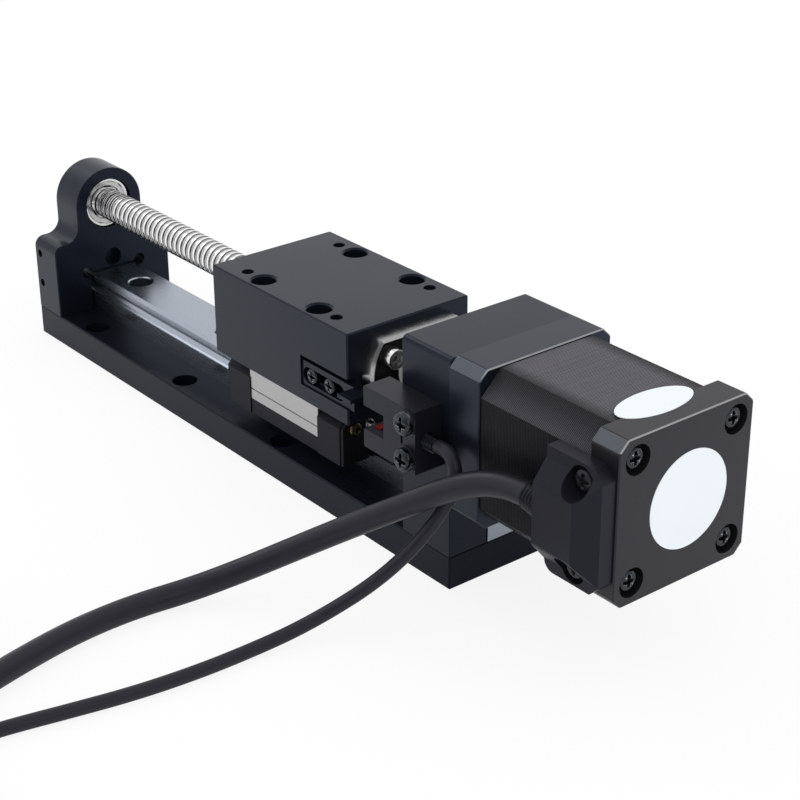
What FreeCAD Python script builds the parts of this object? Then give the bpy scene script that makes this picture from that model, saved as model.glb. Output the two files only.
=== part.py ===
import FreeCAD, Part
import math
import os

# Ball screw linear actuator with a square stepping motor, in millimetres.
# The origin is the middle of the base plate's underside.
# +X points along the screw to the motor, +Z is up, -Y is the side with sensor and cables.

# Frame of the actuator
base_length = 205.0
base_width = 41.0
base_thickness = 9.5
screw_height = 43.0
edge_chamfer = 0.4
fine_chamfer = 0.3

# Holes that fasten the base plate to a machine
base_hole_pitch = 50.0
base_hole_count = 4
base_hole_spacing = 31.0
base_hole_radius = 2.25
base_bore_radius = 3.75
base_bore_depth = 4.5

# Guide rail and its screws
rail_width = 16.0
rail_height = 12.0
rail_bevel = 0.9
groove_height = 7.85
groove_opening = 3.9
groove_depth = 1.4
rail_hole_inset = 29.3
rail_hole_radius = 2.25
rail_bore_radius = 3.75
rail_bore_depth = 8.5
rail_bore_mouth = 0.35

# End bearing block
end_block_thickness = 13.0
shoulder_height = 33.0
shoulder_corner = 3.0
shoulder_fillet = 4.5
boss_radius = 11.6
window_gap = 0.5
window_top_gap = 0.4
relief_radius = 1.9
relief_offset = 1.0
stop_hole_radius = 2.9
stop_hole_height = 25.1
stop_hole_depth = 3.0
side_hole_radius = 1.25
side_hole_depth = 6.0
side_hole_inset = 3.0
side_hole_heights = (18.2, 28.2)

# Ball bearings of the screw: bore, outside and width
bearing_bore = 4.0
bearing_outside = 8.0
bearing_width = 5.0
bearing_recess = 1.2
bearing_ring_wall = 1.3
shield_thickness = 0.4
shield_inset = 0.5
ring_chamfer = 0.35

# Ball screw
screw_radius = 4.8
screw_bore = 2.52
screw_end_reach = 1.5
circlip_thickness = 0.8
circlip_wall = 1.6
circlip_groove = 0.5
circlip_opening = 2.4
screw_chamfer = 0.6

# Motor mount block
mount_thickness = 18.5
mount_top = 63.5
mount_round = 1.5
retainer_radius = 10.0
retainer_thickness = 1.5
retainer_pin_radius = 0.6
lip_thickness = 1.0
lip_radius = 7.0
clamp_radius = 8.5
clamp_width = 3.5
clamp_room = 0.7
clamp_slit = 1.0
clamp_screw_radius = 1.0
clamp_screw_length = 9.6
clamp_screw_rise = 6.3
lip_clearance = 0.2

# Stepping motor
motor_size = 42.3
motor_length = 57.0
front_cap_length = 11.0
rear_cover_length = 9.0
cap_chamfer = 2.6
lamination_inset = 0.65
lamination_chamfer = 6.0
motor_hole_spacing = 31.0
pilot_radius = 11.0
pilot_height = 2.0
cap_wall = 5.0
cover_wall = 3.5
cap_cavity_radius = 17.5
hub_radius = 10.0
rotor_radius = 11.2
air_gap = 0.3
pole_count = 8
pole_width = 5.5
shoe_depth = 1.4
coil_width = 9.0
coil_depth = 3.3
coil_overhang = 3.0
shaft_radius = 2.5
shaft_reach = 11.0
shaft_end_room = 0.5
motor_screw_bite = 6.05
motor_screw_reach = 4.0
magnet_length = 3.0
magnet_inset = 1.0
pole_gap = 1.8
hub_room = 1.0
motor_bearing_bore = 2.5
counterbore_radius = 3.75
counterbore_depth = 2.6

# Carriage at rest, and the travel that its stops leave
carriage_length = 61.0
carriage_width = 40.4
carriage_height = 26.0
carriage_middle = 31.0
mount_hole_spacing = 31.0
big_hole_pitch = 25.0
big_hole_radius = 3.4
big_hole_mouth = 0.5
big_hole_depth = 11.0
small_hole_pitch = 40.0
small_hole_radius = 1.65
small_hole_mouth = 0.15
small_hole_depth = 8.0

# Guide block under the carriage
guide_height = 20.0
guide_width = 34.0
guide_body_length = 31.5
guide_cap_length = 9.8
guide_seal_length = 1.2
guide_lag = 3.0
guide_foot = 4.4
strip_height = 4.5
strip_thickness = 0.8
foot_plate = 1.0
side_line_rise = 2.85
side_line_width = 0.45
guide_rail_gap = 0.5
cap_rail_gap = 0.8
cap_proud = 0.3
cap_drop = 3.1
cap_bevel = 1.6
cap_screw_offset = 13.3
cap_screw_drop = 2.1
nipple_offset = -8.9
nipple_drop = 1.7
nipple_radius = 1.5
nipple_stem = 1.2
nipple_tip = 1.4
guide_screw_reach = 7.0
guide_screw_inset = 5.0
guide_bevel = 0.6
track_room = 0.1
track_clearance = 0.15
guide_ball_radius = 1.85
guide_ball_count = 6

# Ball nut
nut_radius = 9.0
nut_length = 36.0
flange_radius = 16.2
flange_thickness = 5.0
flange_flat = 10.2
nut_bolt_circle = 11.5
nut_bolt_angle = 28.0
nut_bore_gap = 0.3
nut_screw_reach = 10.5
wiper_length = 2.5
wiper_wall = 1.5
nut_chamfer = 0.7
screw_room = 1.7

# Sensor flag in its recess
recess_length = 20.5
recess_bottom = 34.2
recess_top = 42.8
recess_depth = 3.2
flag_thickness = 2.7
flag_height = 7.0
flag_step = 1.3
flag_gap = 0.15
flag_reach = 2.0
leaf_length = 4.5
leaf_thickness = 1.0
leaf_gap = 1.0
leaf_width = 4.6
flag_screw_height = 37.6
flag_screw_insets = (16.5, 8.9)
flag_screw_reach = 3.5
flag_slot_start = 19.9
flag_slot_end = 1.9

# Slot sensor on the mount block
sensor_lead = 23.5
sensor_length = 20.0
sensor_thickness = 8.0
sensor_bottom = 33.8
sensor_height = 16.8
slot_depth = 7.8
slot_bottom = 38.7
slot_height = 6.4
sensor_screw_inset = 2.8
sensor_slit_inset = 5.15
sensor_screw_spacing = 9.7
sensor_screw_head = 3.05
sensor_screw_reach = 6.0
sensor_hole_depth = 6.5
slit_half_width = 0.4
slit_half_height = 1.8
slit_depth = 1.5
window_inset = 2.5
window_half_length = 1.0
window_half_width = 1.5
window_thickness = 0.4
washer_radius = 3.3
washer_thickness = 0.5
grommet_radius = 2.15
grommet_length = 4.0
grommet_offset = -0.4

# Cable box on the motor's side
box_lead = 18.5
box_length = 17.8
box_bottom = 26.3
box_top = 58.0
box_land = 3.85
box_depth = 8.05
box_slope_top = 50.0
box_slope_bottom = 34.2
box_band = 2.8
box_corner = 3.0
box_flat_length = 12.5
box_flange = 1.8
box_screw_places = ((11.2, 53.4), (9.5, 30.6))
box_edge = 0.4
gland_length = 5.5
gland_height = 43.0
gland_end_wall = 0.25
gland_root_wall = 0.85

# Labels on the motor
label_thickness = 0.15
round_label_radius = 12.3
round_label_offset = 1.4
oval_half_width = 11.3
oval_half_length = 5.3
oval_inset = 9.8
oval_offset = -1.1

# Screws: shank radius, head radius, head height
m2_shank = 1.0
m2_head = 1.9
m2_head_height = 1.2
m25_shank = 1.25
m25_head = 2.2
m25_head_height = 1.5
m3_shank = 1.5
m3_head = 2.75
m3_head_height = 3.0
m4_shank = 2.0
m4_head = 3.5
m4_head_height = 4.0
pan_height = 2.0
block_screw_reach = 8.0
end_screw_inset = 8.45
mount_screw_offset = 4.81
rail_screw_floor = 1.9
rail_screw_tip = 2.375

# Cables: radii, places and coils. The routes were drawn with the motor's face at route_face.
route_face = 102.5
motor_cable_radius = 3.1
sensor_cable_radius = 1.75
motor_cable_route = [
    (130.3, -25.6, 42.9), (125.0, -26.8, 42.1), (119.6, -28.8, 40.3), (114.2, -31.2, 37.4),
    (108.8, -33.8, 33.7), (101.4, -37.4, 28.6), (92.0, -43.2, 22.0), (82.4, -51.0, 15.0),
    (73.8, -60.8, 8.6), (67.0, -73.0, 4.0), (63.6, -88.0, 3.15), (64.0, -104.0, 3.15),
    (67.0, -120.0, 3.15), (71.2, -136.0, 3.15), (72.2, -153.0, 3.15),
]
sensor_cable_route = [
    (106.2, -24.9, 42.6), (109.1, -25.2, 41.2), (110.9, -25.8, 38.4), (111.2, -27.0, 34.8),
    (110.7, -29.3, 30.2), (109.6, -33.4, 25.0), (108.0, -39.2, 19.2), (104.4, -46.4, 12.6),
    (99.9, -54.6, 6.8), (96.8, -64.0, 3.0), (95.6, -76.0, 1.8), (95.2, -90.0, 1.8),
    (93.4, -105.5, 1.8), (90.0, -121.0, 1.8), (86.4, -136.0, 1.8), (84.4, -151.0, 1.8),
    (84.0, -168.0, 1.8),
]
motor_coil_centre = (36.2, -166.0)
motor_coil_radius = 36.0
motor_coil_layers = 1
motor_coil_rows = 2
sensor_coil_centre = (104.0, -178.0)
sensor_coil_radius = 20.0
sensor_coil_layers = 2
sensor_coil_rows = 3
motor_plug_size = (20.0, 14.0, 8.0)
sensor_plug_size = (14.0, 9.0, 6.0)
plug_tail = 14.0
cable_lift = 0.05

# Fits
seat_gap = 0.02
screw_gap = 0.05
tip_room = 0.5
run_gap = 0.15
block_screw_room = 8.5

# Places worked out from the sizes above
base_end = base_length / 2
base_side = base_width / 2
base_top = base_thickness
axis_z = screw_height
rail_top = base_top + rail_height
end_block_inner = -base_end + end_block_thickness
window_half = rail_width / 2 + window_gap
window_top = rail_top + window_top_gap
mount_start = base_end - mount_thickness
motor_half = motor_size / 2
motor_rear = base_end + motor_length
stator_start = base_end + front_cap_length
stator_end = motor_rear - rear_cover_length
stator_length = stator_end - stator_start
end_bearing_start = end_block_inner - bearing_recess - bearing_width
end_bearing_stop = end_bearing_start + bearing_width
support_start = mount_start + retainer_thickness
support_end = support_start + 2 * bearing_width
journal_end = base_end - pilot_height - run_gap
carriage_start = carriage_middle - carriage_length / 2
carriage_end = carriage_middle + carriage_length / 2
carriage_side = carriage_width / 2
guide_top = base_top + guide_height
carriage_top = guide_top + carriage_height
guide_middle = carriage_middle - guide_lag
guide_start = guide_middle - guide_body_length / 2
guide_end = guide_middle + guide_body_length / 2
guide_side = guide_width / 2
guide_bottom = base_top + guide_foot
cap_top = guide_top - cap_drop
rotor_bore = rotor_radius + air_gap
front_bearing_start = base_end + cap_wall
rear_bearing_start = motor_rear - cover_wall - bearing_width
nut_flange_end = carriage_end + flange_thickness
sensor_start = base_end - sensor_lead
sensor_end = sensor_start + sensor_length
sensor_middle_z = sensor_bottom + sensor_height / 2
box_start = motor_rear - box_lead
box_end = box_start + box_length
gland_start = box_start - gland_length
route_shift = base_end - route_face
gland_y = -motor_half - box_depth / 2


# Building blocks

def vec(x, y, z):
    return FreeCAD.Vector(x, y, z)


def box(x0, x1, y0, y1, z0, z1):
    return Part.makeBox(x1 - x0, y1 - y0, z1 - z0, vec(x0, y0, z0))


def rod_x(x0, x1, radius, y=0.0, z=axis_z):
    return Part.makeCylinder(radius, x1 - x0, vec(x0, y, z), vec(1, 0, 0))


def rod_y(y0, y1, radius, x, z):
    return Part.makeCylinder(radius, y1 - y0, vec(x, y0, z), vec(0, 1, 0))


def rod_z(z0, z1, radius, x, y):
    return Part.makeCylinder(radius, z1 - z0, vec(x, y, z0), vec(0, 0, 1))


def ring_x(x0, x1, outer, inner, y=0.0, z=axis_z):
    return rod_x(x0, x1, outer, y, z).cut(rod_x(x0, x1, inner, y, z))


def prism_x(points, x0, x1):
    wire = Part.makePolygon([vec(x0, y, z) for y, z in points + points[:1]])
    return Part.Face(wire).extrude(vec(x1 - x0, 0, 0))


def cut_all(solid, tools):
    for tool in tools:
        solid = solid.cut(tool)
    return solid


def chamfer_edges(solid, size, wanted):
    edges = [edge for edge in solid.Edges if wanted(edge)]
    return solid.makeChamfer(size, edges)


def is_straight(edge):
    return isinstance(edge.Curve, (Part.Line, Part.LineSegment))


def is_round(edge):
    return isinstance(edge.Curve, Part.Circle)


def runs_along(edge, axis):
    size = edge.BoundBox
    spans = {"x": size.XLength, "y": size.YLength, "z": size.ZLength}
    others = [span for name, span in spans.items() if name != axis]
    return is_straight(edge) and spans[axis] > 1.0 and max(others) < 1e-6


def save(name, solids):
    shape = Part.makeCompound(solids) if len(solids) > 1 else solids[0]
    shape.exportStep("parts/" + name + ".step")


def corners(half_x, half_y, middle_x=0.0):
    return [(middle_x + sx * half_x, sy * half_y) for sx in (-1, 1) for sy in (-1, 1)]


def chamfered_square(half, chamfer, x0, x1):
    near, far = half - chamfer, half
    outline = [(near, far), (far, near), (far, -near), (near, -far),
               (-near, -far), (-far, -near), (-far, near), (-near, far)]
    return prism_x([(y, axis_z + z) for y, z in outline], x0, x1)


def hex_socket(centre, direction, across, depth):
    spoke = across / math.sqrt(3)
    side = vec(0, 0, 1) if abs(direction.z) < 0.5 else vec(0, 1, 0)
    third = direction.cross(side)
    points = []
    for step in range(7):
        turn = math.radians(60 * step)
        points.append(centre + side * (spoke * math.cos(turn)) + third * (spoke * math.sin(turn)))
    return Part.Face(Part.makePolygon(points)).extrude(direction * depth)


def cap_screw(seat, direction, length, shank, head, height):
    # A socket head screw: seat is the middle of the face under its head.
    outward = direction * -1
    body = Part.makeCylinder(shank, length, seat, direction)
    body = body.fuse(Part.makeCylinder(head, height, seat, outward))
    top = seat + outward * height
    return body.cut(hex_socket(top, direction, head * 0.9, height * 0.5))


def pan_screw(seat, direction, length, shank, head, height):
    # A pan head screw with a cross recess.
    outward = direction * -1
    body = Part.makeCylinder(shank, length, seat, direction)
    cap = Part.makeCylinder(head, height, seat, outward)
    rim = [edge for edge in cap.Edges if edge.Length > head and
           abs((edge.CenterOfMass - seat).dot(outward) - height) < 1e-6]
    cap = cap.makeFillet(height * 0.45, rim)
    top = seat + outward * height
    slot_half, slot_width, slot_depth = head * 0.6, head * 0.16, height * 0.6
    side = vec(0, 0, 1)
    third = direction.cross(side)
    for along, across in ((side, third), (third, side)):
        points = [top + along * a + across * b for a, b in (
            (slot_half, slot_width), (slot_half, -slot_width),
            (-slot_half, -slot_width), (-slot_half, slot_width), (slot_half, slot_width))]
        cap = cap.cut(Part.Face(Part.makePolygon(points)).extrude(direction * slot_depth))
    return body.fuse(cap)


# Base plate, rail and their screws

def base_hole_places():
    first = -base_hole_pitch * (base_hole_count - 1) / 2
    return [first + base_hole_pitch * step for step in range(base_hole_count)]


def rail_hole_places():
    first = -base_end + rail_hole_inset
    pitch = (base_length - 2 * rail_hole_inset) / (base_hole_count - 1)
    return [first + pitch * step for step in range(base_hole_count)]


def block_screw_places():
    end_x = -base_end + end_screw_inset
    mount_x = base_end - mount_thickness / 2
    leg_y = (window_half + base_side) / 2
    end = [(end_x, side * leg_y) for side in (-1, 1)]
    return end, corners(mount_screw_offset, leg_y, mount_x)


def base_plate():
    plate = box(-base_end, base_end, -base_side, base_side, 0, base_top)
    plate = chamfer_edges(plate, edge_chamfer, is_straight)
    tools = []
    for x in base_hole_places():
        for y in (-base_hole_spacing / 2, base_hole_spacing / 2):
            tools.append(rod_z(0, base_top, base_hole_radius, x, y))
            tools.append(rod_z(base_top - base_bore_depth, base_top, base_bore_radius, x, y))
    for x in rail_hole_places():
        tools.append(rod_z(rail_screw_floor, base_top, m4_shank + screw_gap, x, 0))
    end, mount = block_screw_places()
    for x, y in end + mount:
        tools.append(rod_z(0, base_top, m4_shank + screw_gap, x, y))
        tools.append(rod_z(0, m4_head_height + edge_chamfer, m4_head + screw_gap, x, y))
    return cut_all(plate, tools)


def rail():
    half = rail_width / 2
    low, high = groove_height - groove_opening / 2, groove_height + groove_opening / 2
    path = []

    def point(y, z):
        return vec(-base_end, y, base_top + z)

    def line(a, b):
        path.append(Part.LineSegment(point(*a), point(*b)).toShape())

    def groove(side, start, stop):
        middle = (side * (half - groove_depth), groove_height)
        arc = Part.Arc(point(side * half, start), point(*middle), point(side * half, stop))
        path.append(arc.toShape())

    line((-half, 0), (half, 0))
    line((half, 0), (half, low))
    groove(1, low, high)
    line((half, high), (half, rail_height - rail_bevel))
    line((half, rail_height - rail_bevel), (half - rail_bevel, rail_height))
    line((half - rail_bevel, rail_height), (-half + rail_bevel, rail_height))
    line((-half + rail_bevel, rail_height), (-half, rail_height - rail_bevel))
    line((-half, rail_height - rail_bevel), (-half, high))
    groove(-1, high, low)
    line((-half, low), (-half, 0))
    bar = Part.Face(Part.Wire(path)).extrude(vec(base_length, 0, 0))
    tools = []
    mouth = rail_bore_mouth
    for x in rail_hole_places():
        tools.append(rod_z(base_top, rail_top, rail_hole_radius, x, 0))
        tools.append(rod_z(rail_top - rail_bore_depth, rail_top, rail_bore_radius, x, 0))
        tools.append(Part.makeCone(rail_bore_radius, rail_bore_radius + mouth, mouth,
                                   vec(x, 0, rail_top - mouth)))
    return cut_all(bar, tools)


def rail_screws():
    seat_z = rail_top - rail_bore_depth
    length = seat_z - rail_screw_tip
    return [cap_screw(vec(x, 0, seat_z), vec(0, 0, -1), length, m4_shank, m4_head, m4_head_height)
            for x in rail_hole_places()]


def block_screws():
    end, mount = block_screw_places()
    seat_z = m4_head_height + edge_chamfer
    length = base_top - seat_z + block_screw_reach
    return [cap_screw(vec(x, y, seat_z), vec(0, 0, 1), length, m4_shank, m4_head, m4_head_height)
            for x, y in end + mount]


# Bearing block at the free end of the screw

def end_block():
    path = []
    x = -base_end
    level, fillet, corner = shoulder_height, shoulder_fillet, shoulder_corner
    diagonal = math.sqrt(0.5)

    def point(y, z):
        return vec(x, y, z)

    def line(a, b):
        path.append(Part.LineSegment(point(*a), point(*b)).toShape())

    def arc(a, b, c):
        path.append(Part.Arc(point(*a), point(*b), point(*c)).toShape())

    side, neck = base_side, boss_radius
    bend = (side - corner + corner * diagonal, level - corner + corner * diagonal)
    hollow = (neck + fillet - fillet * diagonal, level + fillet - fillet * diagonal)
    line((-side, base_top), (side, base_top))
    line((side, base_top), (side, level - corner))
    arc((side, level - corner), bend, (side - corner, level))
    line((side - corner, level), (neck + fillet, level))
    arc((neck + fillet, level), hollow, (neck, level + fillet))
    line((neck, level + fillet), (neck, axis_z))
    arc((neck, axis_z), (0, axis_z + neck), (-neck, axis_z))
    line((-neck, axis_z), (-neck, level + fillet))
    arc((-neck, level + fillet), (-hollow[0], hollow[1]), (-neck - fillet, level))
    line((-neck - fillet, level), (-side + corner, level))
    arc((-side + corner, level), (-bend[0], bend[1]), (-side, level - corner))
    line((-side, level - corner), (-side, base_top))
    block = Part.Face(Part.Wire(path)).extrude(vec(end_block_thickness, 0, 0))
    block = chamfer_edges(block, fine_chamfer, lambda edge: edge.BoundBox.XLength < 1e-6
                          and edge.CenterOfMass.z > base_top + 1.0)
    x1 = end_block_inner
    tools = [box(x, x1, -window_half, window_half, base_top, window_top)]
    for sign in (-1, 1):
        tools.append(rod_x(x, x1, relief_radius, sign * (window_half + relief_offset),
                           window_top))
        for z in side_hole_heights:
            y = sign * base_side
            inner = sign * (base_side - side_hole_depth)
            tools.append(rod_y(min(y, inner), max(y, inner), side_hole_radius,
                               -base_end + side_hole_inset, z))
    tools.append(rod_x(x1 - stop_hole_depth, x1, stop_hole_radius, 0, stop_hole_height))
    tools.append(rod_x(end_bearing_start, x1, bearing_outside + seat_gap))
    tools.append(rod_x(x, end_bearing_start, lip_radius))
    end, _ = block_screw_places()
    for px, py in end:
        tools.append(rod_z(base_top, base_top + block_screw_room, m4_shank + screw_gap, px, py))
    return cut_all(block, tools)


def outer_rings(starts):
    rings = []
    for start in starts:
        stop = start + bearing_width
        ring = ring_x(start, stop, bearing_outside, bearing_outside - bearing_ring_wall)
        rings.append(chamfer_edges(ring, ring_chamfer, is_round))
    return rings


def inner_rings(starts, bore):
    wall = bearing_ring_wall
    rings = [ring_x(start, start + bearing_width, bore + wall, bore + seat_gap) for start in starts]
    return [chamfer_edges(ring, ring_chamfer, is_round) for ring in rings]


def shields(starts, bore):
    # Sheet shields sit in the outer rings and leave a running gap to the inner ones.
    discs = []
    outer = bearing_outside - bearing_ring_wall
    inner = bore + bearing_ring_wall + run_gap
    for start in starts:
        for x in (start + shield_inset, start + bearing_width - shield_inset - shield_thickness):
            discs.append(ring_x(x, x + shield_thickness, outer, inner))
    return discs


# Motor mount block

def motor_mount():
    block = box(mount_start, base_end, -base_side, base_side, base_top, mount_top)
    top = [edge for edge in block.Edges
           if runs_along(edge, "x") and edge.CenterOfMass.z > mount_top - 1e-6]
    block = block.makeFillet(mount_round, top)
    block = chamfer_edges(block, fine_chamfer, lambda edge: edge.BoundBox.XLength < 1e-6
                          and edge.CenterOfMass.z > base_top + 1.0)
    tools = [box(mount_start, base_end, -window_half, window_half, base_top, window_top)]
    for sign in (-1, 1):
        tools.append(rod_x(mount_start, base_end, relief_radius,
                           sign * (window_half + relief_offset), window_top))
    tools.append(rod_x(mount_start, support_start, retainer_radius + seat_gap))
    tools.append(rod_x(support_start, support_end, bearing_outside + seat_gap))
    tools.append(rod_x(support_end, support_end + lip_thickness, lip_radius))
    tools.append(rod_x(support_end + lip_thickness, base_end, clamp_radius + clamp_room))
    tools.append(rod_x(base_end - pilot_height - run_gap, base_end, pilot_radius + seat_gap))
    for y, z in motor_hole_places():
        tools.append(rod_x(mount_start, base_end, m3_shank + screw_gap, y, z))
        tools.append(rod_x(mount_start, mount_start + m3_head_height + edge_chamfer,
                           m3_head + screw_gap, y, z))
    for z in sensor_screw_heights():
        tools.append(rod_y(-base_side, -base_side + sensor_hole_depth, m3_shank + screw_gap,
                           sensor_end - sensor_screw_inset, z))
    _, mount = block_screw_places()
    for px, py in mount:
        tools.append(rod_z(base_top, base_top + block_screw_room, m4_shank + screw_gap, px, py))
    return cut_all(block, tools)


def motor_hole_places():
    half = motor_hole_spacing / 2
    return [(y, axis_z + z) for y in (-half, half) for z in (-half, half)]


def sensor_screw_heights():
    return [sensor_middle_z - sensor_screw_spacing / 2, sensor_middle_z + sensor_screw_spacing / 2]


def mount_to_motor_screws():
    seat_x = mount_start + m3_head_height + edge_chamfer
    length = base_end + motor_screw_reach - seat_x
    return [cap_screw(vec(seat_x, y, z), vec(1, 0, 0), length, m3_shank, m3_head, m3_head_height)
            for y, z in motor_hole_places()]


def bearing_retainer():
    ring = ring_x(mount_start, support_start, retainer_radius, lip_radius)
    pin_circle = (retainer_radius + lip_radius) / 2
    tools = [rod_x(mount_start, mount_start + retainer_thickness / 2, retainer_pin_radius,
                   side * pin_circle, axis_z) for side in (-1, 1)]
    return cut_all(ring, tools)


# Motor

def front_cap():
    cap = chamfered_square(motor_half, cap_chamfer, base_end, stator_start)
    cap = chamfer_edges(cap, fine_chamfer, is_straight)
    cap = cap.fuse(rod_x(base_end - pilot_height, base_end, pilot_radius))
    cavity = ring_x(front_bearing_start + 1.0, stator_start, cap_cavity_radius, hub_radius)
    tools = [cavity, rod_x(front_bearing_start, stator_start, bearing_outside + seat_gap),
             rod_x(base_end - pilot_height, front_bearing_start, shaft_radius + hub_room)]
    tools.append(rod_x(front_bearing_start + bearing_width, stator_start, hub_radius))
    for y, z in motor_hole_places():
        tools.append(rod_x(base_end, stator_start, m3_shank + screw_gap, y, z))
    return cut_all(cap, tools)


def rear_cover():
    cover = chamfered_square(motor_half, cap_chamfer, stator_end, motor_rear)
    cover = chamfer_edges(cover, fine_chamfer, is_straight)
    inner = motor_rear - cover_wall
    cavity = ring_x(stator_end, inner, cap_cavity_radius, hub_radius)
    tools = [cavity, rod_x(rear_bearing_start, inner, bearing_outside + seat_gap)]
    if rear_bearing_start > stator_end:
        tools.append(rod_x(stator_end, rear_bearing_start, hub_radius))
    tools.append(rod_x(inner, inner + 1.0, shaft_radius + hub_room))
    for y, z in motor_hole_places():
        tools.append(rod_x(stator_end, motor_rear, m3_shank + screw_gap, y, z))
        tools.append(rod_x(motor_rear - counterbore_depth, motor_rear, counterbore_radius, y, z))
    return cut_all(cover, tools)


def stator():
    half = motor_half - lamination_inset
    body = chamfered_square(half, lamination_chamfer, stator_start, stator_end)
    yoke = rod_x(stator_start, stator_end, cap_cavity_radius)
    poles = []
    for step in range(pole_count):
        pole = box(stator_start, stator_end, -pole_width / 2, pole_width / 2,
                   axis_z + rotor_bore - 1.0, axis_z + cap_cavity_radius + 1.0)
        pole.rotate(vec(0, 0, axis_z), vec(1, 0, 0), 360.0 / pole_count * step)
        poles.append(pole)
    body = body.cut(yoke)
    for pole in poles:
        body = body.fuse(pole)
    shoes = ring_x(stator_start, stator_end, rotor_bore + shoe_depth, rotor_bore)
    for step in range(pole_count):
        gap = box(stator_start, stator_end, -pole_gap / 2, pole_gap / 2,
                  axis_z, axis_z + cap_cavity_radius)
        gap.rotate(vec(0, 0, axis_z), vec(1, 0, 0), 360.0 / pole_count * (step + 0.5))
        shoes = shoes.cut(gap)
    body = body.fuse(shoes).cut(rod_x(stator_start, stator_end, rotor_bore)).removeSplitter()
    tools = [rod_x(stator_start, stator_end, m3_shank + screw_gap, y, z)
             for y, z in motor_hole_places()]
    return cut_all(body, tools)


def windings():
    coils = []
    low = axis_z + rotor_bore + shoe_depth + seat_gap
    high = low + coil_depth
    half = pole_width / 2 + seat_gap
    for step in range(pole_count):
        coil = box(stator_start - coil_overhang, stator_end + coil_overhang,
                   -coil_width / 2, coil_width / 2, low, high)
        coil = coil.cut(box(stator_start - seat_gap, stator_end + seat_gap, -half, half, low, high))
        coil.rotate(vec(0, 0, axis_z), vec(1, 0, 0), 360.0 / pole_count * step)
        coils.append(coil)
    return coils


def rotor():
    cup = (stator_length - magnet_length) / 2
    front = ring_x(stator_start, stator_start + cup, rotor_radius, shaft_radius + seat_gap)
    rear = ring_x(stator_end - cup, stator_end, rotor_radius, shaft_radius + seat_gap)
    return [front, rear]


def rotor_magnet():
    cup = (stator_length - magnet_length) / 2
    return ring_x(stator_start + cup, stator_end - cup, rotor_radius - magnet_inset,
                  shaft_radius + seat_gap)


def motor_long_screws():
    seat_x = motor_rear - counterbore_depth
    length = seat_x - (stator_start - motor_screw_bite)
    return [pan_screw(vec(seat_x, y, z), vec(-1, 0, 0), length, m3_shank, m3_head, pan_height)
            for y, z in motor_hole_places()]


def oval_label():
    z = axis_z + motor_half
    oval_middle = motor_rear - oval_inset
    major = Part.Ellipse(vec(oval_middle, oval_offset + oval_half_width, z),
                         vec(oval_middle + oval_half_length, oval_offset, z),
                         vec(oval_middle, oval_offset, z))
    disc = Part.Face(Part.Wire([major.toShape()]))
    return disc.extrude(vec(0, 0, label_thickness))


# Cable box on the motor's side

def cable_box():
    back = -motor_half
    land, front = back - box_land, back - box_depth
    outline = [(back, box_bottom), (land, box_bottom), (land, box_bottom + box_band),
               (front, box_slope_bottom), (front, box_slope_top), (land, box_top - box_band),
               (land, box_top), (back, box_top)]
    case = prism_x(outline, box_start, box_end)
    foot = [edge for edge in case.Edges if runs_along(edge, "y")
            and abs(edge.CenterOfMass.x - box_start) < 1e-6
            and abs(edge.CenterOfMass.z - box_bottom) < 1e-6]
    case = case.makeFillet(box_corner, foot)
    case = chamfer_edges(case, box_edge, lambda edge: runs_along(edge, "x")
                         and edge.CenterOfMass.y < land - 0.5)
    box_flat_end = box_start + box_flat_length
    far = box_end + 1.0
    wedge = Part.Face(Part.makePolygon([
        vec(box_flat_end, front, 0), vec(far, front, 0),
        vec(far, land - 0.3, 0), vec(box_end, land - 0.3, 0), vec(box_flat_end, front, 0)]))
    tools = [wedge.extrude(vec(0, 0, box_top + 1.0))]
    for z, sign in ((box_top, -1), (box_bottom, 1)):
        corner = Part.Face(Part.makePolygon([
            vec(box_end, back + 1.0, z), vec(box_end, back + 1.0, z + sign * box_corner),
            vec(box_end - box_corner, back + 1.0, z), vec(box_end, back + 1.0, z)]))
        tools.append(corner.extrude(vec(0, front - back - 2.0, 0)))
    for x, z in box_screws_at():
        tools.append(rod_y(front - 1.0, back - box_flange, counterbore_radius, x, z))
        tools.append(rod_y(back - box_flange, back, m3_shank + screw_gap, x, z))
    return cut_all(case, tools)


def box_screws_at():
    return [(box_start + along, z) for along, z in box_screw_places]


def box_screws():
    seat_y = -motor_half - box_flange
    return [pan_screw(vec(x, seat_y, z), vec(0, 1, 0), box_flange - seat_gap,
                      m3_shank, m3_head, pan_height) for x, z in box_screws_at()]


def cable_gland():
    radius = motor_cable_radius
    return Part.makeCone(radius + gland_end_wall, radius + gland_root_wall, gland_length,
                         vec(gland_start, gland_y, gland_height), vec(1, 0, 0))


# Slot sensor

def sensor_body():
    back, front = -base_side, -base_side - sensor_thickness
    body = box(sensor_start, sensor_end, front, back, sensor_bottom, sensor_bottom + sensor_height)
    body = chamfer_edges(body, edge_chamfer, lambda edge: runs_along(edge, "y")
                         and edge.CenterOfMass.x < sensor_start + 1.0)
    tools = [box(sensor_start, sensor_start + slot_depth, front, back,
                 slot_bottom, slot_bottom + slot_height)]
    x = sensor_end - sensor_screw_inset
    for z in sensor_screw_heights():
        tools.append(rod_y(front, back, m3_shank + screw_gap, x, z))
    slit = sensor_end - sensor_slit_inset
    tools.append(box(slit - slit_half_width, slit + slit_half_width, front, front + slit_depth,
                     sensor_middle_z - slit_half_height, sensor_middle_z + slit_half_height))
    return cut_all(body, tools)


def sensor_windows():
    # The lamp's and the receiver's window, one on each arm.
    x = sensor_start + window_inset
    y = -base_side - sensor_thickness / 2
    top = slot_bottom + slot_height
    return [box(x - window_half_length, x + window_half_length, y - window_half_width,
                y + window_half_width, z, z + window_thickness)
            for z in (slot_bottom, top - window_thickness)]


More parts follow.
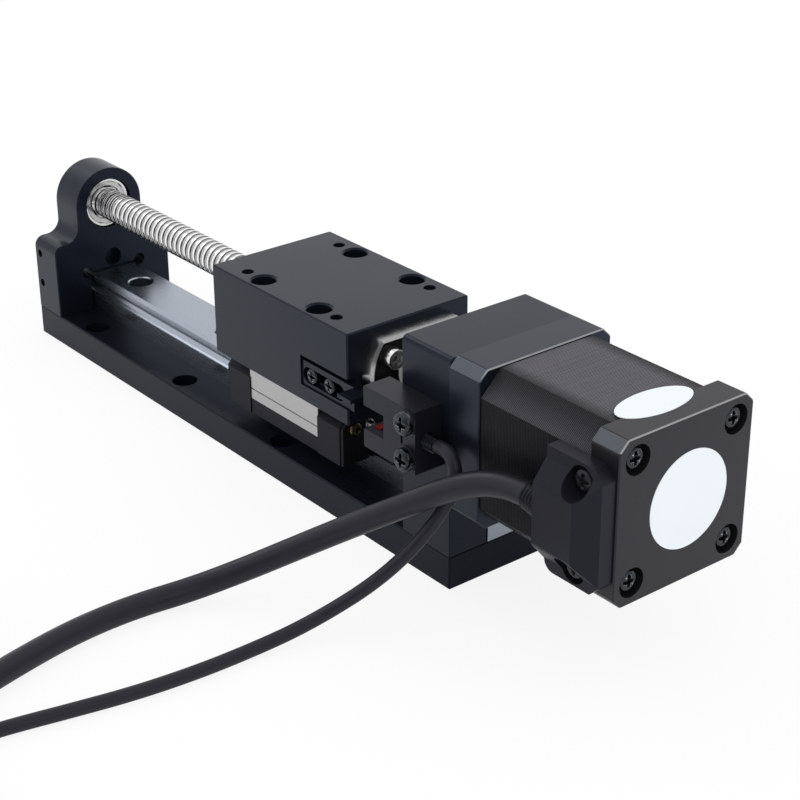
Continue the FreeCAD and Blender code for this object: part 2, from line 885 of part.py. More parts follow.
def sensor_screws():
    x = sensor_end - sensor_screw_inset
    seat_y = -base_side - sensor_thickness - washer_thickness
    length = sensor_thickness + washer_thickness + sensor_screw_reach
    return [pan_screw(vec(x, seat_y, z), vec(0, 1, 0), length, m3_shank, sensor_screw_head, pan_height)
            for z in sensor_screw_heights()]


def sensor_washers():
    x = sensor_end - sensor_screw_inset
    front = -base_side - sensor_thickness
    washers = []
    for z in sensor_screw_heights():
        disc = rod_y(front - washer_thickness, front, washer_radius, x, z)
        washers.append(disc.cut(rod_y(front - washer_thickness, front,
                                      m3_shank + screw_gap, x, z)))
    return washers


def sensor_grommet():
    y, z = grommet_place()
    return rod_x(sensor_end, sensor_end + grommet_length, grommet_radius, y, z)


def grommet_place():
    return -base_side - sensor_thickness / 2 + grommet_offset, sensor_middle_z


# Carriage with its nut, guide block and flag

def carriage_block():
    block = box(carriage_start, carriage_end, -carriage_side, carriage_side, guide_top, carriage_top)
    block = chamfer_edges(block, edge_chamfer, is_straight)
    tools = [rod_x(carriage_end - nut_length, carriage_end, nut_radius + seat_gap),
             rod_x(carriage_start, carriage_end - nut_length, screw_radius + screw_room)]
    big = (big_hole_pitch, big_hole_radius, big_hole_depth, big_hole_mouth)
    small = (small_hole_pitch, small_hole_radius, small_hole_depth, small_hole_mouth)
    for pitch, radius, depth, mouth in (big, small):
        for x, y in corners(pitch / 2, mount_hole_spacing / 2, carriage_middle):
            tools.append(rod_z(carriage_top - depth, carriage_top, radius, x, y))
            tools.append(Part.makeCone(radius, radius + mouth, mouth, vec(x, y, carriage_top - mouth)))
    for y, z in nut_screw_places():
        tools.append(rod_x(carriage_end - nut_screw_reach, carriage_end, m3_shank + screw_gap, y, z))
    for x, y in guide_screw_places():
        tools.append(rod_z(guide_top, guide_top + guide_screw_reach + tip_room,
                           m3_shank + screw_gap, x, y))
    floor = -carriage_side + recess_depth
    tools.append(box(carriage_end - recess_length, carriage_end, -carriage_side, floor,
                     recess_bottom, recess_top))
    for x in flag_screws_at():
        tools.append(rod_y(floor, floor + flag_screw_reach, m25_shank + screw_gap, x,
                           flag_screw_height))
    return cut_all(block, tools)


def nut_screw_places():
    turn = math.radians(nut_bolt_angle)
    y, z = nut_bolt_circle * math.cos(turn), nut_bolt_circle * math.sin(turn)
    return [(sy * y, axis_z + sz * z) for sy in (-1, 1) for sz in (-1, 1)]


def guide_screw_places():
    half_y = guide_side - strip_thickness - m3_head - 2 * screw_gap
    return corners(guide_body_length / 2 - guide_screw_inset, half_y, guide_middle)


def ball_nut():
    start = carriage_end - nut_length
    body = rod_x(start, carriage_end, nut_radius)
    flange = rod_x(carriage_end, nut_flange_end, flange_radius)
    keep = box(carriage_end, nut_flange_end, -flange_radius, flange_radius,
               axis_z - flange_flat, axis_z + flange_flat)
    flange = flange.common(keep)
    flange = flange.makeChamfer(nut_chamfer, [edge for edge in flange.Edges
                                      if abs(edge.CenterOfMass.x - nut_flange_end) < 1e-6])
    nut = body.fuse(flange).cut(rod_x(start, nut_flange_end, screw_radius + nut_bore_gap))
    tools = [rod_x(start, start + wiper_length, nut_radius - wiper_wall),
             rod_x(nut_flange_end - wiper_length, nut_flange_end, nut_radius - wiper_wall)]
    for y, z in nut_screw_places():
        tools.append(rod_x(carriage_end, nut_flange_end, m3_shank + screw_gap, y, z))
    return cut_all(nut, tools)


def nut_wipers():
    start = carriage_end - nut_length
    outer, inner = nut_radius - wiper_wall - seat_gap, screw_radius + nut_bore_gap / 2
    return [ring_x(start, start + wiper_length, outer, inner),
            ring_x(nut_flange_end - wiper_length, nut_flange_end, outer, inner)]


def nut_screws():
    return [cap_screw(vec(nut_flange_end, y, z), vec(-1, 0, 0),
                      flange_thickness + nut_screw_reach - tip_room,
                      m3_shank, m3_head, m3_head_height) for y, z in nut_screw_places()]


def guide_section(x0, x1, side, bottom, top, gap, bevel):
    outline = [(-side, bottom), (side, bottom), (side, top - bevel), (side - bevel, top),
               (-side + bevel, top), (-side, top - bevel)]
    half = rail_width / 2 + gap
    channel = box(x0, x1, -half, half, bottom, rail_top + 2 * gap)
    return prism_x(outline, x0, x1).cut(channel)


def guide_body():
    body = guide_section(guide_start, guide_end, guide_side, guide_bottom, guide_top,
                         guide_rail_gap, guide_bevel)
    strip_top = guide_bottom + strip_height
    tools = []
    for sign in (-1, 1):
        a, b = sign * (guide_side - strip_thickness), sign * guide_side
        tools.append(box(guide_start, guide_end, min(a, b), max(a, b), guide_bottom, strip_top))
        tools.append(rod_x(guide_start, guide_end, guide_ball_radius + track_room,
                           sign * ball_track_y(), ball_track_z()))
        line, low = sign * guide_side, strip_top + side_line_rise
        tools.append(box(guide_start, guide_end, line - 0.3, line + 0.3,
                         low, low + side_line_width))
    tools.append(box(guide_start, guide_end, -guide_side, guide_side,
                     guide_bottom, guide_bottom + foot_plate))
    for x, y in guide_screw_places():
        tools.append(rod_z(guide_bottom, guide_top, m3_shank + screw_gap, x, y))
        tools.append(rod_z(guide_bottom, guide_bottom + foot_plate + m3_head_height,
                           m3_head + screw_gap, x, y))
    return cut_all(body, tools)


def ball_track_y():
    return rail_width / 2 - groove_depth + guide_ball_radius + track_clearance


def ball_track_z():
    return base_top + groove_height


def guide_balls():
    pitch = (guide_body_length - 2 * guide_ball_radius) / guide_ball_count
    balls = []
    for sign in (-1, 1):
        for step in range(guide_ball_count):
            x = guide_start + guide_ball_radius + pitch * (step + 0.5)
            balls.append(Part.makeSphere(guide_ball_radius, vec(x, sign * ball_track_y(), ball_track_z())))
    return balls


def guide_strips():
    strips = []
    half = rail_width / 2 + guide_rail_gap
    for sign in (-1, 1):
        outer, step = sign * guide_side, sign * (guide_side - strip_thickness)
        leg = box(guide_start, guide_end, min(outer, step), max(outer, step),
                  guide_bottom, guide_bottom + strip_height)
        foot = box(guide_start, guide_end, min(sign * half, step), max(sign * half, step),
                   guide_bottom, guide_bottom + foot_plate)
        strip = leg.fuse(foot).removeSplitter()
        for x, y in guide_screw_places():
            strip = strip.cut(rod_z(guide_bottom, guide_bottom + foot_plate,
                                    m3_head + screw_gap, x, y))
        strips.append(strip)
    return strips


def guide_caps():
    caps = []
    for x0, x1 in ((guide_start - guide_cap_length, guide_start),
                   (guide_end, guide_end + guide_cap_length)):
        cap = guide_section(x0, x1, guide_side + cap_proud, guide_bottom, cap_top, cap_rail_gap, cap_bevel)
        for y, z in cap_screw_places():
            cap = cap.cut(rod_x(x0, x1, m2_shank + screw_gap, y, z))
        caps.append(cap)
    return caps


def guide_seals():
    reach = guide_cap_length
    seals = []
    for x0, x1 in ((guide_start - reach - guide_seal_length, guide_start - reach),
                   (guide_end + reach, guide_end + reach + guide_seal_length)):
        seal = guide_section(x0, x1, guide_side, guide_bottom, cap_top, guide_rail_gap, cap_bevel)
        for y, z in cap_screw_places():
            seal = seal.cut(rod_x(x0, x1, m2_shank + screw_gap, y, z))
        seals.append(seal)
    return seals


def cap_screw_places():
    return [(-cap_screw_offset, cap_top - cap_screw_drop), (cap_screw_offset, cap_top - cap_screw_drop)]


def cap_screws():
    screws = []
    for seat_x, way in ((guide_start - guide_cap_length - guide_seal_length, 1),
                        (guide_end + guide_cap_length + guide_seal_length, -1)):
        for y, z in cap_screw_places():
            screws.append(pan_screw(vec(seat_x, y, z), vec(way, 0, 0),
                                    guide_cap_length + guide_seal_length - seat_gap,
                                    m2_shank, m2_head, m2_head_height))
    return screws


def grease_nipple():
    face = guide_end + guide_cap_length + guide_seal_length
    y, z = nipple_offset, cap_top - nipple_drop
    stem = rod_x(face, face + nipple_stem, nipple_radius, y, z)
    tip = Part.makeCone(nipple_radius - 0.3, nipple_radius - 0.7, nipple_tip,
                        vec(face + nipple_stem, y, z), vec(1, 0, 0))
    return stem.fuse(tip)


def guide_block_screws():
    seat_z = guide_bottom + foot_plate + m3_head_height
    length = guide_top + guide_screw_reach - seat_z
    return [cap_screw(vec(x, y, seat_z), vec(0, 0, 1), length, m3_shank, m3_head, m3_head_height)
            for x, y in guide_screw_places()]


def flag_screws_at():
    return [carriage_end - inset for inset in flag_screw_insets]


def long_slot(half, y0, y1, x0, x1):
    # An upright slot with round ends, through from y0 to y1.
    z = flag_screw_height
    slot = box(x0 + half, x1 - half, y0, y1, z - half, z + half)
    for x in (x0 + half, x1 - half):
        slot = slot.fuse(rod_y(y0, y1, half, x, z))
    return slot


def sensor_flag():
    floor = -carriage_side + recess_depth
    outer = floor - flag_thickness
    low = recess_bottom + flag_gap
    high = low + flag_height
    start = carriage_end - recess_length + flag_gap
    end = carriage_end + flag_reach
    leaf_z = slot_bottom + leaf_gap
    plate = box(start, end, outer, floor, low, high)
    leaf = box(end - leaf_thickness, end + leaf_length, outer - leaf_width, floor,
               leaf_z, leaf_z + leaf_thickness)
    flag = plate.fuse(leaf).removeSplitter()
    slot_start, slot_end = carriage_end - flag_slot_start, carriage_end - flag_slot_end
    step = m25_head + 2 * screw_gap
    narrow = m25_shank + 2 * screw_gap
    wide = long_slot(step, outer, floor - flag_step, slot_start, slot_end)
    inset = step - narrow
    return cut_all(flag, [wide, long_slot(narrow, outer, floor, slot_start + inset, slot_end - inset)])


def flag_screws():
    seat_y = -carriage_side + recess_depth - flag_step
    return [pan_screw(vec(x, seat_y, flag_screw_height), vec(0, 1, 0),
                      flag_step + flag_screw_reach - tip_room,
                      m25_shank, m25_head, m25_head_height) for x in flag_screws_at()]


# Screw and what turns with it

def ball_screw():
    start = -base_end + screw_end_reach
    thread_start, thread_end = end_bearing_stop, support_start
    body = rod_x(thread_start, thread_end, screw_radius)
    body = body.makeChamfer(screw_chamfer, [edge for edge in body.Edges
                                  if abs(edge.Length - 2 * math.pi * screw_radius) < 1e-6])
    body = body.fuse(rod_x(start, thread_start, bearing_bore))
    body = body.fuse(rod_x(thread_end, journal_end, bearing_bore)).removeSplitter()
    clip_x = end_bearing_start - circlip_thickness - seat_gap
    tools = [rod_x(journal_end - shaft_reach, journal_end, screw_bore),
             ring_x(clip_x, clip_x + circlip_thickness, bearing_bore, bearing_bore - circlip_groove)]
    return cut_all(body, tools)


def end_circlip():
    x = end_bearing_start - circlip_thickness
    clip = ring_x(x, x + circlip_thickness - seat_gap, bearing_bore + circlip_wall,
                  bearing_bore - circlip_groove + screw_gap)
    return clip.cut(box(x, x + circlip_thickness, -circlip_opening / 2, circlip_opening / 2,
                        axis_z - bearing_bore * 2, axis_z))


def bearing_spacer():
    return ring_x(support_end, support_end + lip_thickness + lip_clearance,
                  bearing_bore + bearing_ring_wall, bearing_bore + seat_gap)


def clamp_start():
    return support_end + lip_thickness + lip_clearance


def clamp_nut():
    x0 = clamp_start()
    x1 = x0 + clamp_width
    nut = ring_x(x0, x1, clamp_radius, bearing_bore + seat_gap)
    slit = box(x0, x1, -clamp_slit / 2, clamp_slit / 2, axis_z, axis_z + clamp_radius + 1.0)
    middle = (x0 + x1) / 2
    hole = rod_y(-clamp_radius, clamp_radius, clamp_screw_radius + screw_gap, middle,
                 axis_z + clamp_screw_rise)
    return cut_all(nut, [slit, hole])


def clamp_screw():
    middle = clamp_start() + clamp_width / 2
    half = clamp_screw_length / 2
    return rod_y(-half, half, clamp_screw_radius, middle, axis_z + clamp_screw_rise)


def motor_shaft():
    start = journal_end - shaft_reach + shaft_end_room
    return rod_x(start, rear_bearing_start + bearing_width, shaft_radius)


# Cables

def arc_size(a, b, c):
    before, after = a - b, c - b
    turn = math.pi - before.getAngle(after)
    shorter = min(before.Length, after.Length)
    return 0.45 * shorter / math.tan(turn / 2), turn


def cable_tube(points, radius, name):
    # Straight runs joined by tangent arcs, swept with a round section.
    points = [vec(*point) for point in points]
    edges = []
    last = points[0]
    smallest = None
    for a, b, c in zip(points, points[1:], points[2:]):
        size, turn = arc_size(a, b, c)
        smallest = size if smallest is None else min(smallest, size)
        reach = size * math.tan(turn / 2)
        to_a, to_c = (a - b).normalize(), (c - b).normalize()
        start, stop = b + to_a * reach, b + to_c * reach
        middle_way = (to_a + to_c).normalize()
        middle = b + middle_way * (size / math.cos(turn / 2) - size)
        edges.append(Part.LineSegment(last, start).toShape())
        edges.append(Part.Arc(start, middle, stop).toShape())
        last = stop
    edges.append(Part.LineSegment(last, points[-1]).toShape())
    path = Part.Wire(edges)
    length = path.Length
    begin = (points[1] - points[0]).normalize()
    section = Part.Wire([Part.Circle(points[0], begin, radius).toShape()])
    tube = path.makePipeShell([section], True, False)
    expected = math.pi * radius ** 2 * length
    print(name, "length", round(length, 1), "smallest radius", round(smallest, 1),
          "volume ratio", round(tube.Volume / expected, 4))
    return tube


def coil_ring(centre, radius, cable_radius, rows, layers):
    half = rows * cable_radius
    height = 2 * (cable_radius * layers + cable_lift)
    outer = rod_z(0, height, radius + half, *centre)
    return outer.cut(rod_z(0, height, radius - half, *centre))


def plug_and_tail(coil, centre, radius, cable_radius, size, way):
    # The last stretch leaves the coil along a tangent, and the plug lies on its end.
    length, width, height = size
    x, y = centre[0], centre[1] - radius
    tail = rod_x(min(x, x + way * plug_reach(radius)), max(x, x + way * plug_reach(radius)),
                 cable_radius, y, cable_radius + cable_lift)
    start = x + way * plug_reach(radius)
    plug = box(min(start, start + way * length), max(start, start + way * length),
               y - width / 2, y + width / 2, 0, height)
    plug = plug.makeChamfer(0.6, [edge for edge in plug.Edges if runs_along(edge, "x")])
    return tail.cut(coil), plug


def plug_reach(radius):
    return radius * 0.9 + plug_tail


def shifted(points):
    # Both routes keep their place beside the motor when the base plate's length changes.
    return [(point[0] + route_shift,) + tuple(point[1:]) for point in points]


def cables():
    motor_start = (gland_start, gland_y, gland_height)
    motor_centre, sensor_centre = shifted([motor_coil_centre, sensor_coil_centre])
    y, z = grommet_place()
    sensor_first = (sensor_end + grommet_length, y, z)
    motor_coil = coil_ring(motor_centre, motor_coil_radius, motor_cable_radius,
                           motor_coil_rows, motor_coil_layers)
    sensor_coil = coil_ring(sensor_centre, sensor_coil_radius, sensor_cable_radius,
                            sensor_coil_rows, sensor_coil_layers)
    motor_tube = cable_tube([motor_start] + shifted(motor_cable_route),
                            motor_cable_radius, "motor cable")
    sensor_tube = cable_tube([sensor_first] + shifted(sensor_cable_route),
                             sensor_cable_radius, "sensor cable")
    motor_tail, motor_plug = plug_and_tail(motor_coil, motor_centre, motor_coil_radius,
                                           motor_cable_radius, motor_plug_size, -1)
    sensor_tail, sensor_plug = plug_and_tail(sensor_coil, sensor_centre, sensor_coil_radius,
                                             sensor_cable_radius, sensor_plug_size, 1)
    save("motor_cable", [cut_all(motor_tube, [motor_coil, cable_gland()]), motor_tail])
    save("motor_cable_coil", [motor_coil])
    save("motor_plug", [motor_plug])
    save("sensor_cable", [cut_all(sensor_tube, [sensor_coil, sensor_grommet()]), sensor_tail])
    save("sensor_cable_coil", [sensor_coil])
    save("sensor_plug", [sensor_plug])


def main():
    os.makedirs("parts", exist_ok=True)
    save("base_plate", [base_plate()])
    save("guide_rail", [rail()])
    save("rail_screws", rail_screws())
    save("block_screws", block_screws())
    save("end_bearing_block", [end_block()])
    save("end_bearing_outer_ring", outer_rings([end_bearing_start]))
    save("end_bearing_shields", shields([end_bearing_start], bearing_bore))
    save("end_bearing_inner_ring", inner_rings([end_bearing_start], bearing_bore))
    save("end_circlip", [end_circlip()])

    support = [support_start, support_start + bearing_width]
    save("motor_mount", [motor_mount()])
    save("mount_to_motor_screws", mount_to_motor_screws())
    save("bearing_retainer", [bearing_retainer()])
    save("support_bearing_outer_rings", outer_rings(support))
    save("support_bearing_shields", shields(support, bearing_bore))
    save("support_bearing_inner_rings", inner_rings(support, bearing_bore))

    motor = [front_bearing_start, rear_bearing_start]
    save("motor_front_cap", [front_cap()])
    save("motor_laminations", [stator()])
    save("motor_windings", windings())
    save("motor_rear_cover", [rear_cover()])
    save("motor_long_screws", motor_long_screws())
    save("motor_bearing_outer_rings", outer_rings(motor))
    save("motor_bearing_shields", shields(motor, motor_bearing_bore))
    save("motor_bearing_inner_rings", inner_rings(motor, motor_bearing_bore))
    save("motor_rotor_cups", rotor())
    save("motor_rotor_magnet", [rotor_magnet()])
    save("motor_shaft", [motor_shaft()])
    save("round_label", [rod_x(motor_rear, motor_rear + label_thickness, round_label_radius,
                               round_label_offset, axis_z)])
    save("oval_label", [oval_label()])

    save("cable_box", [cable_box()])
    save("cable_box_screws", box_screws())
    save("motor_cable_gland", [cable_gland()])
    save("slot_sensor", [sensor_body()])
    save("sensor_windows", sensor_windows())
    save("sensor_screws", sensor_screws())
    save("sensor_washers", sensor_washers())
    save("sensor_strain_relief", [sensor_grommet()])

    save("carriage_block", [carriage_block()])
    save("ball_nut", [ball_nut()])
    save("nut_wipers", nut_wipers())
    save("nut_screws", nut_screws())
    save("guide_block", [guide_body()])
    save("guide_balls", guide_balls())
    save("guide_side_strips", guide_strips())
    save("guide_end_caps", guide_caps())
    save("guide_end_seals", guide_seals())
    save("guide_cap_screws", cap_screws())
    save("guide_block_screws", guide_block_screws())
    save("grease_nipple", [grease_nipple()])
    save("sensor_flag", [sensor_flag()])
    save("flag_screws", flag_screws())

    save("ball_screw", [ball_screw()])
    save("bearing_spacer", [bearing_spacer()])
    save("clamp_nut", [clamp_nut()])
    save("clamp_screw", [clamp_screw()])
    cables()


main()
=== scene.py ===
import math
import random

import bmesh
import bpy
from mathutils import Matrix, Vector


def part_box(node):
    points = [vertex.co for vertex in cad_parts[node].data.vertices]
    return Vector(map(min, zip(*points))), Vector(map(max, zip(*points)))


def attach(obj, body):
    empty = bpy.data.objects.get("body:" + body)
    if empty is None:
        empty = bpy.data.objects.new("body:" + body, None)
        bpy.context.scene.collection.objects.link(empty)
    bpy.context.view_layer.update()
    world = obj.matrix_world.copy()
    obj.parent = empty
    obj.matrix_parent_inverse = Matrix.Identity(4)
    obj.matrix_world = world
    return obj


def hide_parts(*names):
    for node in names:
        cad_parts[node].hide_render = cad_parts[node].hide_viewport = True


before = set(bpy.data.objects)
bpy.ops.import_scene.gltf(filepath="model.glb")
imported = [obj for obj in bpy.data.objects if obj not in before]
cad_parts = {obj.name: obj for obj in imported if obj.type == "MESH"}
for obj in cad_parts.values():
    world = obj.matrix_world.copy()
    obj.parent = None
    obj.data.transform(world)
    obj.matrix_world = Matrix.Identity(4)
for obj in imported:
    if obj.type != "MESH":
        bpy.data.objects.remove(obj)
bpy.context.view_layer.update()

mm = 0.001
axis_z = 43.0 * mm


# Camera and surroundings

camera_place = Vector((411.897, -281.995, 251.063)) * mm
camera_azimuth = math.radians(51.4885)
camera_elevation = math.radians(26.0706)
camera_roll = math.radians(-0.3472)
camera_lens = 85.668
camera_sensor = 36.0
world_light = 1.0
floor_glow = 0.86
floor_glow_in_gloss = 0.3
dim_side = (0.76, -0.6, 0.25)
dim_level = 0.25
dim_start = 0.2
dim_full = 0.95
floor_half = 4.0
floor_level = -0.05 * mm
floor_tone = 0.92


def add_camera():
    sine, cosine = math.sin(camera_azimuth), math.cos(camera_azimuth)
    level = math.cos(camera_elevation)
    forward = Vector((-sine * level, cosine * level, -math.sin(camera_elevation)))
    right = Vector((cosine, sine, 0.0))
    up = right.cross(forward)
    across = right * math.cos(camera_roll) + up * math.sin(camera_roll)
    above = up * math.cos(camera_roll) - right * math.sin(camera_roll)
    data = bpy.data.cameras.new("camera")
    data.lens = camera_lens
    data.sensor_width = camera_sensor
    data.clip_start = 0.01
    data.clip_end = 20.0
    camera = bpy.data.objects.new("camera", data)
    axes = Matrix((across, above, -forward)).transposed()
    camera.matrix_world = Matrix.Translation(camera_place) @ axes.to_4x4()
    bpy.context.scene.collection.objects.link(camera)
    bpy.context.scene.camera = camera


def add_area(name, place, target, size, power):
    data = bpy.data.lights.new(name, "AREA")
    data.shape = "RECTANGLE"
    data.size, data.size_y = size
    data.energy = power
    lamp = bpy.data.objects.new(name, data)
    lamp.location = place
    lamp.rotation_mode = "QUATERNION"
    lamp.rotation_quaternion = (Vector(target) - Vector(place)).to_track_quat("-Z", "Y")
    bpy.context.scene.collection.objects.link(lamp)


def add_lamps():
    add_area("right_lamp", place=(0.9, -0.25, 0.55), target=(0.1, 0.0, 0.03), size=(0.6, 0.6), power=0.9)
    add_area("back_lamp", place=(-0.85, -0.15, 0.85), target=(-0.05, 0.0, 0.04), size=(0.5, 0.35), power=1.1)
    add_area("front_lamp", place=(-0.1, -0.8, 0.9), target=(0.0, 0.0, 0.03), size=(0.8, 0.6), power=0.7)


def ray_kinds(tree, names):
    # One for rays of these kinds, else nothing.
    path = tree.nodes.new("ShaderNodeLightPath")
    total = path.outputs[names[0]]
    for name in names[1:]:
        add = tree.nodes.new("ShaderNodeMath")
        add.operation = "MAXIMUM"
        tree.links.new(total, add.inputs[0])
        tree.links.new(path.outputs[name], add.inputs[1])
        total = add.outputs[0]
    return total


def mix_values(tree, factor, first, second):
    mixed = tree.nodes.new("ShaderNodeMix")
    mixed.data_type = "FLOAT"
    for socket, value in ((0, factor), (2, first), (3, second)):
        if hasattr(value, "is_output"):
            tree.links.new(value, mixed.inputs[socket])
        else:
            mixed.inputs[socket].default_value = value
    return mixed.outputs[0]


def add_world():
    # White where it is seen, and in gloss a little darker on the side where the camera stands.
    world = bpy.data.worlds.new("studio")
    world.use_nodes = True
    tree = world.node_tree
    background = tree.nodes["Background"]
    background.inputs["Color"].default_value = (1.0, 1.0, 1.0, 1.0)
    direction = tree.nodes.new("ShaderNodeTexCoord")
    along = tree.nodes.new("ShaderNodeVectorMath")
    along.operation = "DOT_PRODUCT"
    along.inputs[1].default_value = dim_side
    tree.links.new(direction.outputs["Generated"], along.inputs[0])
    dimming = tree.nodes.new("ShaderNodeMapRange")
    dimming.interpolation_type = "SMOOTHSTEP"
    dimming.inputs["From Min"].default_value = dim_start
    dimming.inputs["From Max"].default_value = dim_full
    dimming.inputs["To Min"].default_value = 1.0
    dimming.inputs["To Max"].default_value = dim_level
    tree.links.new(along.outputs["Value"], dimming.inputs["Value"])
    lit = mix_values(tree, ray_kinds(tree, ["Is Glossy Ray"]), world_light, dimming.outputs["Result"])
    seen = ray_kinds(tree, ["Is Camera Ray", "Is Transmission Ray"])
    tree.links.new(mix_values(tree, seen, lit, 1.0), background.inputs["Strength"])
    bpy.context.scene.world = world


def add_floor():
    mesh = bpy.data.meshes.new("floor")
    corners = ((-1, -1), (1, -1), (1, 1), (-1, 1))
    mesh.from_pydata([(x * floor_half, y * floor_half, floor_level) for x, y in corners],
                     [], [(0, 1, 2, 3)])
    floor = bpy.data.objects.new("floor", mesh)
    bpy.context.scene.collection.objects.link(floor)
    material = bpy.data.materials.new("floor_white")
    material.use_nodes = True
    tree = material.node_tree
    shader = tree.nodes["Principled BSDF"]
    shader.inputs["Base Color"].default_value = (floor_tone, floor_tone, floor_tone, 1.0)
    shader.inputs["Roughness"].default_value = 0.9
    shader.inputs["Specular IOR Level"].default_value = 0.0
    glow = tree.nodes.new("ShaderNodeEmission")
    glow.inputs["Color"].default_value = (1.0, 1.0, 1.0, 1.0)
    seen = ray_kinds(tree, ["Is Camera Ray", "Is Transmission Ray"])
    in_gloss = mix_values(tree, ray_kinds(tree, ["Is Glossy Ray"]), 0.0, floor_glow_in_gloss)
    mix = tree.nodes.new("ShaderNodeMixShader")
    tree.links.new(mix_values(tree, seen, in_gloss, floor_glow), mix.inputs["Fac"])
    tree.links.new(shader.outputs[0], mix.inputs[1])
    tree.links.new(glow.outputs[0], mix.inputs[2])
    tree.links.new(mix.outputs[0], tree.nodes["Material Output"].inputs["Surface"])
    mesh.materials.append(material)


# Materials

cloud_scale = 35.0
grain_scale = 3800.0
steel_scale = 420.0
line_scale = 6000.0
line_stretch = 0.015
# Share of the normal towards +X above which a face gets a painted dark reflection.
dark_reflection_limit = 0.95


class Surface:
    """A material with its node tree and the few nodes that most surfaces share."""

    def __init__(self, name, color, roughness, metallic=0.0):
        self.material = bpy.data.materials.new(name)
        self.material.use_nodes = True
        self.material.diffuse_color = color
        self.tree = self.material.node_tree
        self.shader = self.tree.nodes["Principled BSDF"]
        self.shader.inputs["Base Color"].default_value = color
        self.shader.inputs["Roughness"].default_value = roughness
        self.shader.inputs["Metallic"].default_value = metallic
        self.coordinates = self.node("ShaderNodeTexCoord")

    def node(self, kind, **settings):
        made = self.tree.nodes.new(kind)
        for name, value in settings.items():
            setattr(made, name, value)
        return made

    def link(self, source, target):
        self.tree.links.new(source, target)

    def noise(self, scale, stretch=(1.0, 1.0, 1.0), detail=3.0):
        mapping = self.node("ShaderNodeMapping")
        mapping.inputs["Scale"].default_value = stretch
        self.link(self.coordinates.outputs["Object"], mapping.inputs["Vector"])
        noise = self.node("ShaderNodeTexNoise")
        noise.inputs["Scale"].default_value = scale
        noise.inputs["Detail"].default_value = detail
        self.link(mapping.outputs["Vector"], noise.inputs["Vector"])
        return noise.outputs["Fac"]

    def spread(self, value, low, high, start=0.3, stop=0.7):
        ranged = self.node("ShaderNodeMapRange")
        ranged.inputs["From Min"].default_value = start
        ranged.inputs["From Max"].default_value = stop
        ranged.inputs["To Min"].default_value = low
        ranged.inputs["To Max"].default_value = high
        self.link(value, ranged.inputs["Value"])
        return ranged.outputs["Result"]

    def mix(self, factor, first, second):
        mixed = self.node("ShaderNodeMix", data_type="RGBA")
        for socket, value in ((6, first), (7, second)):
            if hasattr(value, "is_output"):
                self.link(value, mixed.inputs[socket])
            else:
                mixed.inputs[socket].default_value = value
        self.link(factor, mixed.inputs[0])
        return mixed.outputs[2]

    def color(self, value):
        self.link(value, self.shader.inputs["Base Color"])

    def rough(self, value):
        self.link(value, self.shader.inputs["Roughness"])

    def bump(self, height, strength, distance):
        bump = self.node("ShaderNodeBump")
        bump.inputs["Strength"].default_value = strength
        bump.inputs["Distance"].default_value = distance
        self.link(height, bump.inputs["Height"])
        self.link(bump.outputs["Normal"], self.shader.inputs["Normal"])

    def math(self, operation, first, second=0.0):
        made = self.node("ShaderNodeMath", operation=operation)
        for socket, value in ((0, first), (1, second)):
            if hasattr(value, "is_output"):
                self.link(value, made.inputs[socket])
            else:
                made.inputs[socket].default_value = value
        return made.outputs[0]

    def part_of(self, output, axis):
        # One axis of the object's own coordinates or of the surface's direction.
        split = self.node("ShaderNodeSeparateXYZ")
        self.link(self.coordinates.outputs[output], split.inputs[0])
        return split.outputs[axis]

    def ramp(self, value, stops):
        # Colours at places between 0 and 1.
        made = self.node("ShaderNodeValToRGB")
        elements = made.color_ramp.elements
        while len(elements) < len(stops):
            elements.new(0.5)
        for element, (place, color) in zip(elements, stops):
            element.position = place
            element.color = color
        self.link(value, made.inputs[0])
        return made.outputs[0]

    def gloss(self, index, tint):
        self.shader.inputs["IOR"].default_value = index
        self.shader.inputs["Specular Tint"].default_value = tint


def grey(value):
    return (value, value, value, 1.0)


def cool(value):
    return (value * 0.65, value * 0.78, value * 1.3, 1.0)


def faint_blue(value):
    return (value * 0.95, value * 0.97, value * 1.25, 1.0)


def plain(value):
    return (value, value * 0.97, value * 1.08, 1.0)


def steel_blue(value):
    return (value * 0.88, value * 0.97, value * 1.12, 1.0)


def copper_tint(value):
    return (value * 1.4, value * 0.65, value * 0.4, 1.0)


def brass_tint(value):
    return (value * 1.2, value * 0.9, value * 0.45, 1.0)


cool_gloss = (0.55, 0.66, 1.0, 1.0)
blue_gloss = (0.7, 0.75, 1.0, 1.0)
plain_gloss = (0.85, 0.82, 0.98, 1.0)


def anodised(name, tone=0.009, roughness=0.3, index=1.34, tint=cool, gloss=cool_gloss):
    # Bead-blasted and black anodised aluminium.
    surface = Surface(name, tint(tone), roughness)
    surface.gloss(index, gloss)
    cloud = surface.noise(cloud_scale)
    grain = surface.noise(grain_scale, detail=2.0)
    surface.color(surface.mix(cloud, tint(tone * 0.85), tint(tone * 1.15)))
    surface.rough(surface.spread(cloud, roughness - 0.03, roughness + 0.04))
    surface.bump(grain, 0.1, 0.02 * mm)
    return surface.material


def ground_steel(name, tone=0.46, roughness=0.26, along=0, tint=steel_blue):
    # Steel with fine grinding lines along one axis.
    surface = Surface(name, tint(tone), roughness, 1.0)
    stretch = [1.0, 1.0, 1.0]
    stretch[along] = line_stretch
    lines = surface.noise(line_scale, stretch, 1.0)
    cloud = surface.noise(45.0)
    surface.color(surface.mix(cloud, tint(tone * 0.97), tint(tone * 1.03)))
    surface.rough(surface.spread(lines, roughness - 0.015, roughness + 0.015))
    surface.bump(cloud, 0.01, 0.02 * mm)
    return surface.material


